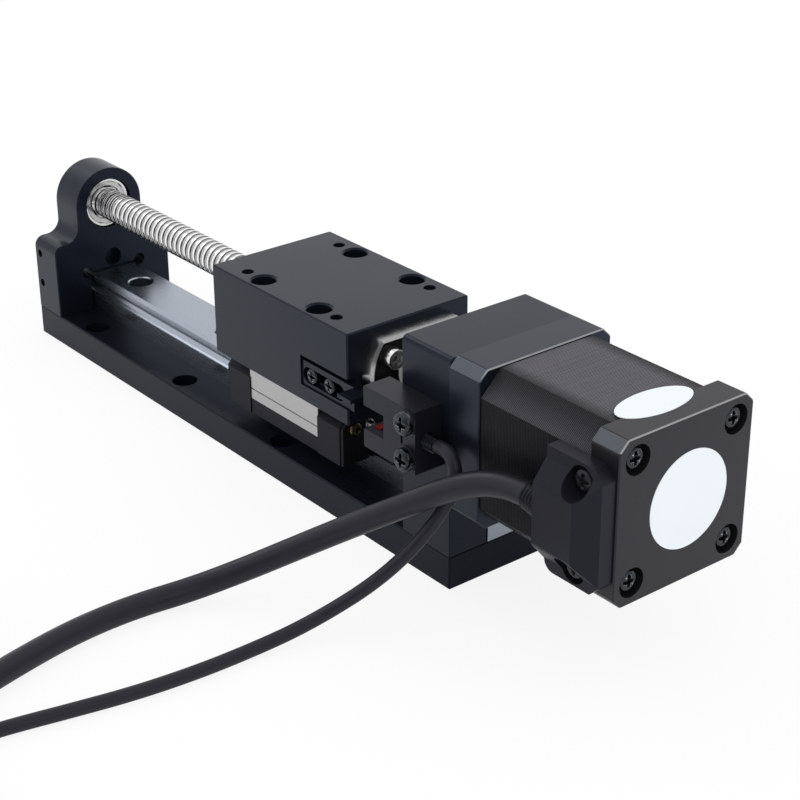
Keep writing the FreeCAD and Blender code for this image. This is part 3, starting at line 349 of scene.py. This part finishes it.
def bright_steel(name, tone=0.6, roughness=0.16, tint=grey):
    surface = Surface(name, tint(tone), roughness, 1.0)
    cloud = surface.noise(steel_scale)
    surface.color(surface.mix(cloud, tint(tone * 0.92), tint(tone * 1.06)))
    surface.rough(surface.spread(cloud, roughness - 0.03, roughness + 0.05))
    surface.bump(cloud, 0.02, 0.005 * mm)
    return surface.material


def moulded_plastic(name, color, roughness=0.42, grain_size=0.25, index=1.32):
    surface = Surface(name, color, roughness)
    surface.gloss(index, blue_gloss)
    grain = surface.noise(1.0 / (grain_size * mm), detail=2.0)
    cloud = surface.noise(60.0)
    lighter = tuple(min(1.0, c * 1.15) for c in color[:3]) + (1.0,)
    surface.color(surface.mix(cloud, color, lighter))
    surface.rough(surface.spread(grain, roughness - 0.05, roughness + 0.05))
    surface.bump(grain, 0.12, 0.02 * mm)
    return surface.material


def sheath(name, tone=0.014, roughness=0.36, index=1.36):
    surface = Surface(name, faint_blue(tone), roughness)
    surface.gloss(index, plain_gloss)
    cloud = surface.noise(240.0)
    fine = surface.noise(2200.0, detail=2.0)
    surface.color(surface.mix(cloud, faint_blue(tone * 0.85), faint_blue(tone * 1.2)))
    surface.rough(surface.spread(cloud, roughness - 0.05, roughness + 0.06))
    surface.bump(fine, 0.08, 0.015 * mm)
    return surface.material


def label_film(name):
    surface = Surface(name, (0.8, 0.85, 0.9, 1.0), 0.38)
    cloud = surface.noise(90.0)
    surface.color(surface.mix(cloud, (0.79, 0.84, 0.89, 1.0), (0.81, 0.86, 0.91, 1.0)))
    surface.rough(surface.spread(cloud, 0.34, 0.44))
    return surface.material


def thread_steel(name, root_radius, crest_radius):
    # Rolled steel with painted light along the thread's profile: painted highlights on the lands, painted
    # shade on the flanks and a grey groove.
    surface = Surface(name, grey(0.6), 0.2, 1.0)
    height = surface.math("SUBTRACT", surface.part_of("Object", 2), axis_z)
    aside = surface.part_of("Object", 1)
    square = surface.math("ADD", surface.math("MULTIPLY", height, height),
                          surface.math("MULTIPLY", aside, aside))
    distance = surface.math("SQRT", square)
    raised = surface.spread(distance, 0.0, 1.0, root_radius, crest_radius)
    surface.color(surface.ramp(raised, [(0.0, grey(0.5)), (0.3, grey(0.34)), (0.6, grey(0.1)),
                                        (0.88, grey(0.14)), (0.97, grey(0.85))]))
    surface.rough(surface.spread(raised, 0.24, 0.12, 0.0, 1.0))
    surface.bump(surface.noise(900.0), 0.02, 0.01 * mm)
    return surface.material


def lamination_metal(name, start, thickness, half):
    # Sheets in a stack, each with a raised middle, with painted light making them lighter where they face up
    # and painted shade where the outline turns to the chamfers.
    surface = Surface(name, plain(0.02), 0.34)
    surface.gloss(1.22, plain_gloss)
    place = surface.math("SUBTRACT", surface.part_of("Object", 0), start)
    across = surface.math("FRACT", surface.math("DIVIDE", place, thickness))
    upward = surface.part_of("Normal", 2)
    # Painted light: ridges and joints are lighter the more they face up.
    ridge = surface.ramp(upward, [(0.0, plain(0.011)), (0.72, plain(0.075)), (1.0, plain(0.15))])
    joint = surface.ramp(upward, [(0.0, plain(0.001)), (0.72, plain(0.001)), (1.0, plain(0.03))])
    aside = surface.math("ABSOLUTE", surface.part_of("Object", 1))
    share = surface.math("DIVIDE", aside, half)
    # Painted shade on the sheets where the outline turns from the top to the chamfers.
    bend_shade = surface.ramp(share, [(0.5, grey(0.0)), (0.7, grey(0.8)), (0.8, grey(0.6)), (0.95, grey(0.0))])
    ridge = surface.mix(bend_shade, ridge, plain(0.012))
    joint = surface.mix(bend_shade, joint, plain(0.002))
    stripe = surface.ramp(across, [(0.05, grey(0.0)), (0.3, grey(1.0)), (0.7, grey(1.0)),
                                   (0.95, grey(0.0))])
    surface.color(surface.mix(stripe, joint, ridge))
    surface.rough(surface.spread(surface.noise(300.0), 0.3, 0.4))
    surface.bump(surface.noise(4000.0, detail=1.0), 0.05, 0.01 * mm)
    return surface.material


def painted_cap(name, tint, gloss, index):
    # Black paint, worn on the upper edges, with a painted highlight on the upper corner chamfers.
    surface = Surface(name, tint(0.009), 0.3)
    surface.gloss(index, gloss)
    slope = surface.math("ABSOLUTE", surface.part_of("Normal", 0))
    upward = surface.math("GREATER_THAN", surface.part_of("Normal", 2), 0.5)
    level = surface.math("LESS_THAN", slope, 0.9)
    edge = surface.math("MULTIPLY", upward, surface.math("GREATER_THAN", slope, 0.5))
    inner = (motor_half - cap_corner) * mm
    aside = surface.math("GREATER_THAN", surface.math("ABSOLUTE", surface.part_of("Object", 1)), inner)
    above = surface.math("GREATER_THAN", surface.part_of("Object", 2), axis_z + inner)
    corner = surface.math("MULTIPLY", level, surface.math("MULTIPLY", aside, above))
    cloud = surface.noise(cloud_scale)
    painted = surface.mix(cloud, tint(0.008), tint(0.01))
    # The corner mask paints a steel-blue highlight on the chamfers of the upper corners.
    painted = surface.mix(corner, painted, steel_blue(0.08))
    surface.color(surface.mix(edge, painted, grey(0.28)))
    surface.rough(surface.spread(edge, 0.3, 0.35, 0.0, 1.0))
    surface.bump(surface.noise(grain_scale, detail=2.0), 0.08, 0.02 * mm)
    return surface.material


def dark_faced(name, tone, painted_reflection_tone, roughness=0.24):
    # Steel that is ground round its rim, with a painted dark reflection on its face towards +X.
    surface = Surface(name, grey(tone), roughness, 1.0)
    face = surface.math("GREATER_THAN", surface.part_of("Normal", 0), dark_reflection_limit)
    cloud = surface.noise(steel_scale)
    rim = surface.mix(cloud, grey(tone * 0.93), grey(tone * 1.08))
    surface.color(surface.mix(face, rim, grey(painted_reflection_tone)))
    surface.rough(surface.spread(cloud, roughness - 0.04, roughness + 0.04))
    surface.bump(cloud, 0.01, 0.005 * mm)
    return surface.material


def blackened_steel(name):
    # Black oxide, with painted highlights on raised edges.
    surface = Surface(name, grey(0.02), 0.2, 1.0)
    geometry = surface.node("ShaderNodeNewGeometry")
    painted_glint = surface.spread(geometry.outputs["Pointiness"], 0.0, 1.0, 0.53, 0.62)
    cloud = surface.noise(500.0)
    dark = surface.mix(cloud, steel_blue(0.035), steel_blue(0.06))
    surface.color(surface.mix(painted_glint, dark, grey(0.55)))
    surface.rough(surface.spread(cloud, 0.16, 0.26))
    surface.bump(cloud, 0.02, 0.005 * mm)
    return surface.material


stack_start = 113.5
stack_half = 20.5
sheet_thickness = 0.5
motor_half = 21.15
cap_corner = 2.6

black = anodised("black_anodised")
black_mount = anodised("black_anodised_mount", 0.008, 0.28, 1.33)
black_base = anodised("black_anodised_base", 0.007, 0.26, 1.24)
rail_finish = ground_steel("ground_rail_steel", 0.42)
block_finish = ground_steel("ground_block_steel", 0.45, 0.36, 0, grey)
bearing_finish = bright_steel("bearing_steel", 0.7, 0.12)
shield_finish = bright_steel("shield_steel", 0.5, 0.2)
# In the dark_faced finishes below, the last number is the tone of the painted dark reflection.
nut_finish = dark_faced("nut_steel", 0.37, 0.02)
chrome_screw = bright_steel("zinc_screw_steel", 0.6, 0.22)
knurled_finish = dark_faced("knurled_screw_steel", 0.75, 0.2)
black_screw = blackened_steel("blackened_screw_steel")
dark_washer = anodised("blackened_washer_steel", 0.012, 0.3, 1.4, plain, plain_gloss)
shaft_finish = ground_steel("shaft_steel", 0.6, 0.22, 1)
dark_magnet = moulded_plastic("sintered_magnet", grey(0.12), 0.5)
copper = bright_steel("winding_copper", 0.5, 0.3, copper_tint)
brass = bright_steel("yellow_zinc", 0.12, 0.25, brass_tint)
plastic = moulded_plastic("black_plastic", faint_blue(0.009), 0.36, index=1.28)
cap_plastic = moulded_plastic("end_cap_plastic", faint_blue(0.008), 0.36, index=1.2)
sensor_plastic = moulded_plastic("sensor_plastic", faint_blue(0.008), 0.36, 0.15, 1.33)
rubber = moulded_plastic("seal_rubber", grey(0.006), 0.5, 0.2, 1.25)
relief_rubber = moulded_plastic("relief_rubber", grey(0.002), 0.24, 0.4, 1.33)
window_plastic = moulded_plastic("sensor_window", (0.16, 0.002, 0.006, 1.0), 0.3, 0.3, 1.2)
pale_plastic = moulded_plastic("pale_plastic", (0.75, 0.74, 0.7, 1.0), 0.4)
cable_finish = sheath("cable_sheath")
label_finish = label_film("label_film")
sheet_finish = lamination_metal("lamination_steel", stack_start * mm, sheet_thickness * mm,
                                stack_half * mm)
cap_finish = painted_cap("painted_cap", cool, cool_gloss, 1.42)
cover_finish = painted_cap("painted_cover", plain, plain_gloss, 1.4)

finishes = {
    "base_plate": black_base,
    "guide_rail": rail_finish,
    "rail_screws": dark_washer,
    "block_screws": black_screw,
    "end_bearing_block": black_mount,
    "end_bearing_outer_ring": bearing_finish,
    "end_bearing_shields": shield_finish,
    "end_bearing_inner_ring": bearing_finish,
    "end_circlip": dark_washer,
    "motor_mount": black_mount,
    "mount_to_motor_screws": black_screw,
    "bearing_retainer": chrome_screw,
    "support_bearing_outer_rings": bearing_finish,
    "support_bearing_shields": shield_finish,
    "support_bearing_inner_rings": bearing_finish,
    "motor_front_cap": cap_finish,
    "motor_laminations": sheet_finish,
    "motor_windings": copper,
    "motor_rear_cover": cover_finish,
    "motor_long_screws": black_screw,
    "motor_bearing_outer_rings": bearing_finish,
    "motor_bearing_shields": shield_finish,
    "motor_bearing_inner_rings": bearing_finish,
    "motor_rotor_cups": sheet_finish,
    "motor_rotor_magnet": dark_magnet,
    "motor_shaft": shaft_finish,
    "round_label": label_finish,
    "oval_label": label_finish,
    "cable_box": plastic,
    "cable_box_screws": black_screw,
    "motor_cable_gland": relief_rubber,
    "slot_sensor": sensor_plastic,
    "sensor_windows": window_plastic,
    "sensor_screws": black_screw,
    "sensor_washers": dark_washer,
    "sensor_strain_relief": relief_rubber,
    "carriage_block": black,
    "ball_nut": nut_finish,
    "nut_wipers": pale_plastic,
    "nut_screws": chrome_screw,
    "guide_block": block_finish,
    "guide_balls": bearing_finish,
    "guide_side_strips": cap_plastic,
    "guide_end_caps": cap_plastic,
    "guide_end_seals": rubber,
    "guide_cap_screws": brass,
    "guide_block_screws": black_screw,
    "grease_nipple": chrome_screw,
    "sensor_flag": black,
    "flag_screws": black_screw,
    "bearing_spacer": bearing_finish,
    "clamp_nut": chrome_screw,
    "clamp_screw": black_screw,
    "motor_plug": pale_plastic,
    "sensor_plug": pale_plastic,
}


def dress_cad():
    for name, material in finishes.items():
        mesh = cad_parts[name].data
        mesh.materials.clear()
        mesh.materials.append(material)


# Pieces

def add_mesh(name, vertices, faces, material, body, smooth_angle=35.0):
    mesh = bpy.data.meshes.new(name)
    mesh.from_pydata(vertices, [], faces)
    mesh.validate()
    work = bmesh.new()
    work.from_mesh(mesh)
    bmesh.ops.recalc_face_normals(work, faces=work.faces)
    work.to_mesh(mesh)
    work.free()
    mesh.materials.append(material)
    mesh.shade_smooth()
    mesh.set_sharp_from_angle(angle=math.radians(smooth_angle))
    piece = bpy.data.objects.new(name, mesh)
    bpy.context.scene.collection.objects.link(piece)
    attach(piece, body)
    return piece


def rows_to_faces(row_count, column_count):
    faces = []
    for row in range(row_count - 1):
        for column in range(column_count):
            after = (column + 1) % column_count
            faces.append((row * column_count + column, row * column_count + after,
                          (row + 1) * column_count + after, (row + 1) * column_count + column))
    return faces


screw_start = -101.0
thread_start = -90.7
thread_end = 85.5
journal_end = 100.35
journal_radius = 4.0
crest_radius = 4.8
groove_depth = 0.45
groove_share = 0.28
screw_lead = 2.5
bore_radius = 2.52
bore_depth = 11.0
thread_run_out = 1.6
run_out_start = 0.3
journal_chamfer = 0.4
tip_radius = 0.01
screw_sides = 48
steps_per_turn = 16


def clamped(value):
    return min(1.0, max(0.0, value))


def thread_radius(x, turn):
    # A right-handed groove of round section between narrow lands.
    place = (x / screw_lead - turn) % 1.0
    across = abs(place - 0.5) / groove_share
    depth = groove_depth * math.sqrt(1.0 - across * across) if across < 1.0 else 0.0
    edge = min(x - thread_start, thread_end - x)
    fade = clamped((edge - run_out_start) / thread_run_out)
    return crest_radius - depth * fade


def ball_screw():
    sides = screw_sides
    step = screw_lead / steps_per_turn
    count = round((thread_end - thread_start) / step)
    rows = [(screw_start, tip_radius), (screw_start, journal_radius - journal_chamfer),
            (screw_start + journal_chamfer, journal_radius), (thread_start, journal_radius)]
    for index in range(count + 1):
        rows.append((thread_start + (thread_end - thread_start) * index / count, None))
    rows += [(thread_end, journal_radius), (journal_end, journal_radius),
             (journal_end, bore_radius), (journal_end - bore_depth, bore_radius),
             (journal_end - bore_depth, tip_radius)]
    vertices = []
    for x, radius in rows:
        for side in range(sides):
            angle = 2 * math.pi * side / sides
            size = thread_radius(x, side / sides) if radius is None else radius
            vertices.append((x * mm, size * math.cos(angle) * mm,
                             axis_z + size * math.sin(angle) * mm))
    faces = rows_to_faces(len(rows), sides)
    faces.append(tuple(range(sides)))
    last = (len(rows) - 1) * sides
    faces.append(tuple(range(last, last + sides)))
    material = thread_steel("thread_steel", (crest_radius - groove_depth) * mm, crest_radius * mm)
    piece = add_mesh("threaded_screw", vertices, faces, material, "screw", 60.0)
    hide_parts("ball_screw")


stack_chamfer = 6.0
stack_end = 150.5
sheet_proud = 0.09
proud_spread = 0.012
joint_proud = 0.01
joint_half = 0.04
ridge_start = 0.14
skin_overlap = 0.2


def octagon(offset):
    half = stack_half + offset
    near = half - (stack_chamfer + (2.0 - math.sqrt(2.0)) * offset)
    return [(near, half), (half, near), (half, -near), (near, -half),
            (-near, -half), (-half, -near), (-half, near), (-near, half)]


def lamination_skin():
    # The edges of the stacked sheets, each a little proud of its joints.
    rng = random.Random(7)
    count = round((stack_end - stack_start) / sheet_thickness)
    rows = [(stack_start, -skin_overlap)]
    for index in range(count):
        x = stack_start + sheet_thickness * index
        after = x + sheet_thickness
        proud = sheet_proud + rng.uniform(-proud_spread, proud_spread)
        rows += [(x + joint_half, joint_proud), (x + ridge_start, proud),
                 (after - ridge_start, proud), (after - joint_half, joint_proud)]
    rows.append((stack_end, -skin_overlap))
    vertices = []
    for x, offset in rows:
        for y, z in octagon(offset):
            vertices.append((x * mm, y * mm, axis_z + z * mm))
    faces = rows_to_faces(len(rows), 8)
    add_mesh("lamination_edges", vertices, faces, sheet_finish, "frame", 20.0)


# Screw heads

head_sides = 72
face_rings = 20
knurl_depth = 0.14
recess_share = 0.55
cross_reach = 0.68
cross_steepness = 2.6
cross_half_width = 0.24
cross_taper = 0.1
cross_wall = 0.08
hex_half_width = 0.5
hex_wall = 0.06
pan_side_share = 0.4
pan_round_share = 0.5
pan_face_share = 0.8


def cross_recess(a, b):
    # Depth from 0 to 1 at a place given in shares of the head's radius.
    depth = 0.0
    for along, across in ((abs(a), abs(b)), (abs(b), abs(a))):
        wing = clamped(cross_steepness * (1.0 - along / cross_reach))
        wall = clamped((cross_half_width - cross_taper * along - across) / cross_wall)
        depth = max(depth, wing * wall)
    return depth


def hex_recess(a, b):
    slope = math.sqrt(3.0) / 2
    across = max(abs(a), abs(a / 2 + b * slope), abs(a / 2 - b * slope))
    return clamped((hex_half_width - across) / hex_wall)


def pan_rows(radius, height):
    # Side and rounded shoulder, up to where the face begins.
    rows = [(radius, 0.0), (radius, height * pan_side_share)]
    for degrees in range(15, 91, 15):
        turn = math.radians(degrees)
        rows.append((radius * (pan_face_share + (1.0 - pan_face_share) * math.cos(turn)),
                     height * (pan_side_share + pan_round_share * math.sin(turn))))
    return rows


def socket_rows(radius, height):
    # A knurled side, a narrow neck above it and a chamfer.
    return [(radius - 0.15, 0.0), (radius, 0.2), (radius, height - 0.45),
            (radius - 0.12, height - 0.25), (radius - 0.12, height - 0.12), (radius - 0.3, height)]


def screw_rows(radius, height, shank, length, kind):
    # Every row is a list of places (across, across, outwards) round the screw's axis.
    socket = kind == "socket"
    profile = socket_rows(radius, height) if socket else pan_rows(radius, height)
    recess = hex_recess if socket else cross_recess
    rim, top = profile[-1]
    rows = []

    def add_row(size, level, ridges=0.0):
        row = []
        for side in range(head_sides):
            turn = 2 * math.pi * side / head_sides
            wide = size - ridges * (side % 2)
            row.append((wide * math.cos(turn), wide * math.sin(turn), level))
        rows.append(row)

    add_row(tip_radius, -length)
    add_row(shank, -length)
    add_row(shank, 0.0)
    for index, (size, level) in enumerate(profile):
        add_row(size, level, knurl_depth if socket and index in (1, 2) else 0.0)
    for ring in range(1, face_rings + 1):
        size = max(tip_radius, rim * (1.0 - ring / face_rings))
        swell = 0.0 if socket else (height - top) * (1.0 - (size / rim) ** 2)
        row = []
        for side in range(head_sides):
            turn = 2 * math.pi * side / head_sides
            a, b = size * math.cos(turn), size * math.sin(turn)
            level = top + swell - height * recess_share * recess(a / radius, b / radius)
            row.append((a, b, level))
        rows.append(row)
    return rows


def add_screws(node, name, kind, axis, way, radius, height, shank, picks, material,
               body="frame"):
    """Screws in the corners of a node's box, with their heads towards one side of it."""
    low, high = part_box(node)
    first, second = [other for other in range(3) if other != axis]
    length = (high[axis] - low[axis]) / mm - height
    vertices, faces = [], []
    rows = screw_rows(radius, height, shank, length, kind)
    for a, b in picks:
        start = len(vertices)
        for row in rows:
            for across, along, level in row:
                place = Vector((0.0, 0.0, 0.0))
                place[first] = (high[first] - radius * mm if a else low[first] + radius * mm) + across * mm
                place[second] = (high[second] - radius * mm if b else low[second] + radius * mm) + along * mm
                place[axis] = (high[axis] if way > 0 else low[axis]) + way * (level - height) * mm
                vertices.append(tuple(place))
        for face in rows_to_faces(len(rows), head_sides):
            faces.append(tuple(start + index for index in face))
        faces.append(tuple(start + side for side in range(head_sides)))
        last = len(vertices) - head_sides
        faces.append(tuple(last + side for side in range(head_sides)))
    piece = add_mesh(name, vertices, faces, material, body, 40.0)
    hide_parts(node)


four_corners = ((0, 0), (0, 1), (1, 0), (1, 1))


def screws():
    add_screws("motor_long_screws", "motor_cross_screws", "cross", axis=0, way=1,
               radius=2.75, height=2.0, shank=1.5, picks=four_corners, material=black_screw)
    # The box screws take the darker washer finish as painted shade of their deep recesses.
    add_screws("cable_box_screws", "box_cross_screws", "cross", axis=1, way=-1,
               radius=2.75, height=2.0, shank=1.5, picks=((0, 0), (1, 1)), material=dark_washer)
    add_screws("sensor_screws", "sensor_cross_screws", "cross", axis=1, way=-1,
               radius=3.05, height=2.0, shank=1.5, picks=((0, 0), (0, 1)), material=black_screw)
    add_screws("flag_screws", "flag_cross_screws", "cross", axis=1, way=-1,
               radius=2.2, height=1.5, shank=1.25, picks=((0, 0), (1, 0)), material=black_screw,
               body="carriage")
    add_screws("nut_screws", "nut_socket_screws", "socket", axis=0, way=1,
               radius=2.75, height=3.0, shank=1.5, picks=four_corners, material=knurled_finish,
               body="carriage")


# Cables

motor_route = [
    (135.5, -25.175, 43.0), (130.3, -25.6, 42.9), (125.0, -26.8, 42.1), (119.6, -28.8, 40.3),
    (114.2, -31.2, 37.4), (108.8, -33.8, 33.7), (101.4, -37.4, 28.6), (92.0, -43.2, 22.0),
    (82.4, -51.0, 15.0), (73.8, -60.8, 8.6), (67.0, -73.0, 4.0), (63.6, -88.0, 3.15),
    (64.0, -104.0, 3.15), (67.0, -120.0, 3.15), (71.2, -136.0, 3.15), (72.2, -153.0, 3.15),
]
sensor_route = [
    (103.0, -24.9, 42.2), (106.2, -24.9, 42.6), (109.1, -25.2, 41.2), (110.9, -25.8, 38.4),
    (111.2, -27.0, 34.8), (110.7, -29.3, 30.2), (109.6, -33.4, 25.0), (108.0, -39.2, 19.2),
    (104.4, -46.4, 12.6), (99.9, -54.6, 6.8), (96.8, -64.0, 3.0), (95.6, -76.0, 1.8),
    (95.2, -90.0, 1.8), (93.4, -105.5, 1.8), (90.0, -121.0, 1.8), (86.4, -136.0, 1.8),
    (84.4, -151.0, 1.8), (84.0, -168.0, 1.8),
]
motor_cable_radius = 3.1
sensor_cable_radius = 1.75
motor_coil_centre = (36.2, -166.0)
motor_coil_radius = 36.0
sensor_coil_centre = (104.0, -178.0)
sensor_coil_radius = 20.0
motor_tail = [(26.0, 7.2), (13.0, 3.6), (0.0, 3.15)]
sensor_tail = [(12.0, 3.4), (5.0, 1.9), (0.0, 1.8)]
turn_points = 16
row_pitch = 2.06
motor_lift = 1.02
motor_rise_turns = 0.6
sensor_rows = 3
sensor_lift = 1.03
sensor_layer = 2.1
sensor_step_points = 8
relief_ribs = 5
rib_depth = 0.25
sleeve_sides = 40
tie_thickness = 0.5
tie_width = 2.5
tie_room = 1.04
tie_layer = 2.1


def motor_turns():
    # Two turns on each other, from the right side clockwise to the near side.
    points = []
    quarter = turn_points // 4
    total = 2 * turn_points + quarter
    for index in range(1, total + 1):
        angle = -2 * math.pi * index / turn_points
        rise = clamped((index / turn_points - motor_rise_turns) / motor_rise_turns)
        height = motor_cable_radius * (motor_lift + row_pitch * rise)
        points.append((motor_coil_centre[0] + motor_coil_radius * math.cos(angle),
                       motor_coil_centre[1] + motor_coil_radius * math.sin(angle), height))
    return points


def sensor_turns():
    # A flat spiral inwards, a step up, and a spiral outwards on top of it.
    points = []
    rows = sensor_rows
    pitch = row_pitch * sensor_cable_radius
    half = turn_points * rows
    for index in range(1, 2 * half + turn_points // 4 + 1):
        angle = math.pi + 2 * math.pi * index / turn_points
        inward = index / turn_points if index <= half else (2 * half - index) / turn_points
        inward = max(-0.2, inward)
        radius = sensor_coil_radius + pitch * (rows - 1) / 2 - pitch * (inward - 0.5) * (rows - 1) / rows
        rise = clamped((index - half) / sensor_step_points + 0.5)
        height = sensor_cable_radius * (sensor_lift + sensor_layer * rise)
        points.append((sensor_coil_centre[0] + radius * math.cos(angle),
                       sensor_coil_centre[1] + radius * math.sin(angle), height))
    return points


def smooth_line(name, points):
    data = bpy.data.curves.new(name, "CURVE")
    data.dimensions = "3D"
    data.resolution_u = 8
    spline = data.splines.new("NURBS")
    spline.points.add(len(points) - 1)
    for target, (x, y, z) in zip(spline.points, points):
        target.co = (x * mm, y * mm, z * mm, 1.0)
    spline.order_u = 3
    spline.use_endpoint_u = True
    return data


def add_cable(name, points, radius):
    data = smooth_line(name, points)
    data.bevel_depth = radius * mm
    data.bevel_resolution = 6
    data.use_fill_caps = True
    data.materials.append(cable_finish)
    cable = bpy.data.objects.new(name, data)
    bpy.context.scene.collection.objects.link(cable)
    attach(cable, "frame")
    return cable


def line_length(points):
    # Length of the smooth line that the points control.
    data = smooth_line("measure", points)
    measured = bpy.data.objects.new("measure", data)
    mesh = bpy.data.meshes.new_from_object(measured)
    places = [vertex.co.copy() for vertex in mesh.vertices]
    bpy.data.objects.remove(measured)
    bpy.data.curves.remove(data)
    bpy.data.meshes.remove(mesh)
    return sum((b - a).length for a, b in zip(places, places[1:]))


def ribbed_sleeve(node, name, start_radius, end_radius):
    """A strain relief along X with round ribs, in the box of the node that it replaces."""
    low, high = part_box(node)
    middle = (low + high) / 2
    sides = sleeve_sides
    steps = relief_ribs * 8
    rows = [(0.0, tip_radius)]
    for step in range(steps + 1):
        share = step / steps
        radius = start_radius + (end_radius - start_radius) * share
        crest = 0.5 - 0.5 * math.cos(2 * math.pi * relief_ribs * share)
        rows.append((share, radius - rib_depth * (1.0 - crest)))
    rows.append((1.0, tip_radius))
    vertices = []
    for share, radius in rows:
        for side in range(sides):
            turn = 2 * math.pi * side / sides
            vertices.append((low.x + (high.x - low.x) * share, middle.y + radius * math.cos(turn) * mm,
                             middle.z + radius * math.sin(turn) * mm))
    faces = rows_to_faces(len(rows), sides)
    faces.append(tuple(range(sides)))
    last = len(vertices) - sides
    faces.append(tuple(range(last, last + sides)))
    piece = add_mesh(name, vertices, faces, relief_rubber, "frame", 50.0)
    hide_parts(node)


def coil_tie(name, centre, radius, cable_radius, rows, layers, angle):
    """A flat strap round a coil's section, at one angle of the coil."""
    half = rows * cable_radius * tie_room + tie_thickness
    height = tie_layer * cable_radius * layers + tie_thickness
    corner = cable_radius
    side, top = half - corner, height - corner
    quarters = ((side, top, 0), (-side, top, 90), (-side, corner, 180), (side, corner, 270))
    outline = []
    for middle_a, middle_b, start in quarters:
        for step in range(7):
            turn = math.radians(start + 15 * step)
            outline.append((middle_a + corner * math.cos(turn), middle_b + corner * math.sin(turn)))
    outward = Vector((math.cos(angle), math.sin(angle), 0.0))
    along = Vector((-math.sin(angle), math.cos(angle), 0.0))
    base = Vector((centre[0], centre[1], 0.0)) + outward * radius
    vertices = []
    for inset, shift in ((0.0, -1.0), (0.0, 1.0), (tie_thickness, 1.0), (tie_thickness, -1.0)):
        share_a, share_b = 1.0 - inset / half, 1.0 - 2 * inset / height
        for a, b in outline:
            level = height / 2 + (b - height / 2) * share_b
            place = base + outward * (a * share_a) + along * (shift * tie_width / 2)
            vertices.append((place.x * mm, place.y * mm, max(0.0, level) * mm))
    count = len(outline)
    faces = []
    for row in range(4):
        for column in range(count):
            after = (column + 1) % count
            other = (row + 1) % 4
            faces.append((row * count + column, row * count + after,
                          other * count + after, other * count + column))
    add_mesh(name, vertices, faces, plastic, "frame", 40.0)


def fittings():
    ribbed_sleeve("motor_cable_gland", "motor_relief_sleeve", start_radius=3.35, end_radius=3.95)
    ribbed_sleeve("sensor_strain_relief", "sensor_relief_sleeve", start_radius=2.15, end_radius=2.15)
    for step, (motor_angle, sensor_angle) in enumerate(((200, 270), (270, 340), (340, 50))):
        coil_tie("motor_coil_tie_" + str(step + 1), motor_coil_centre, motor_coil_radius,
                 motor_cable_radius, rows=1, layers=2, angle=math.radians(motor_angle))
        coil_tie("sensor_coil_tie_" + str(step + 1), sensor_coil_centre, sensor_coil_radius,
                 sensor_cable_radius, rows=sensor_rows, layers=2, angle=math.radians(sensor_angle))


def cables():
    plug_low, plug_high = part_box("motor_plug")
    plug_y = (plug_low.y + plug_high.y) / 2 / mm
    end_x = plug_high.x / mm
    motor_points = motor_route + motor_turns()
    motor_points += [(end_x + away, plug_y, height) for away, height in motor_tail]
    motor = add_cable("motor_cable_run", motor_points, motor_cable_radius)
    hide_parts("motor_cable", "motor_cable_coil")
    line_length(motor_points)

    plug_low, plug_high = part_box("sensor_plug")
    plug_y = (plug_low.y + plug_high.y) / 2 / mm
    end_x = plug_low.x / mm
    sensor_points = sensor_route + sensor_turns()
    sensor_points += [(end_x - away, plug_y, height) for away, height in sensor_tail]
    sensor = add_cable("sensor_cable_run", sensor_points, sensor_cable_radius)
    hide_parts("sensor_cable", "sensor_cable_coil")
    line_length(sensor_points)


bpy.context.scene.view_settings.view_transform = "Standard"
add_camera()
add_world()
add_floor()
add_lamps()
dress_cad()
ball_screw()
lamination_skin()
screws()
cables()
fittings()
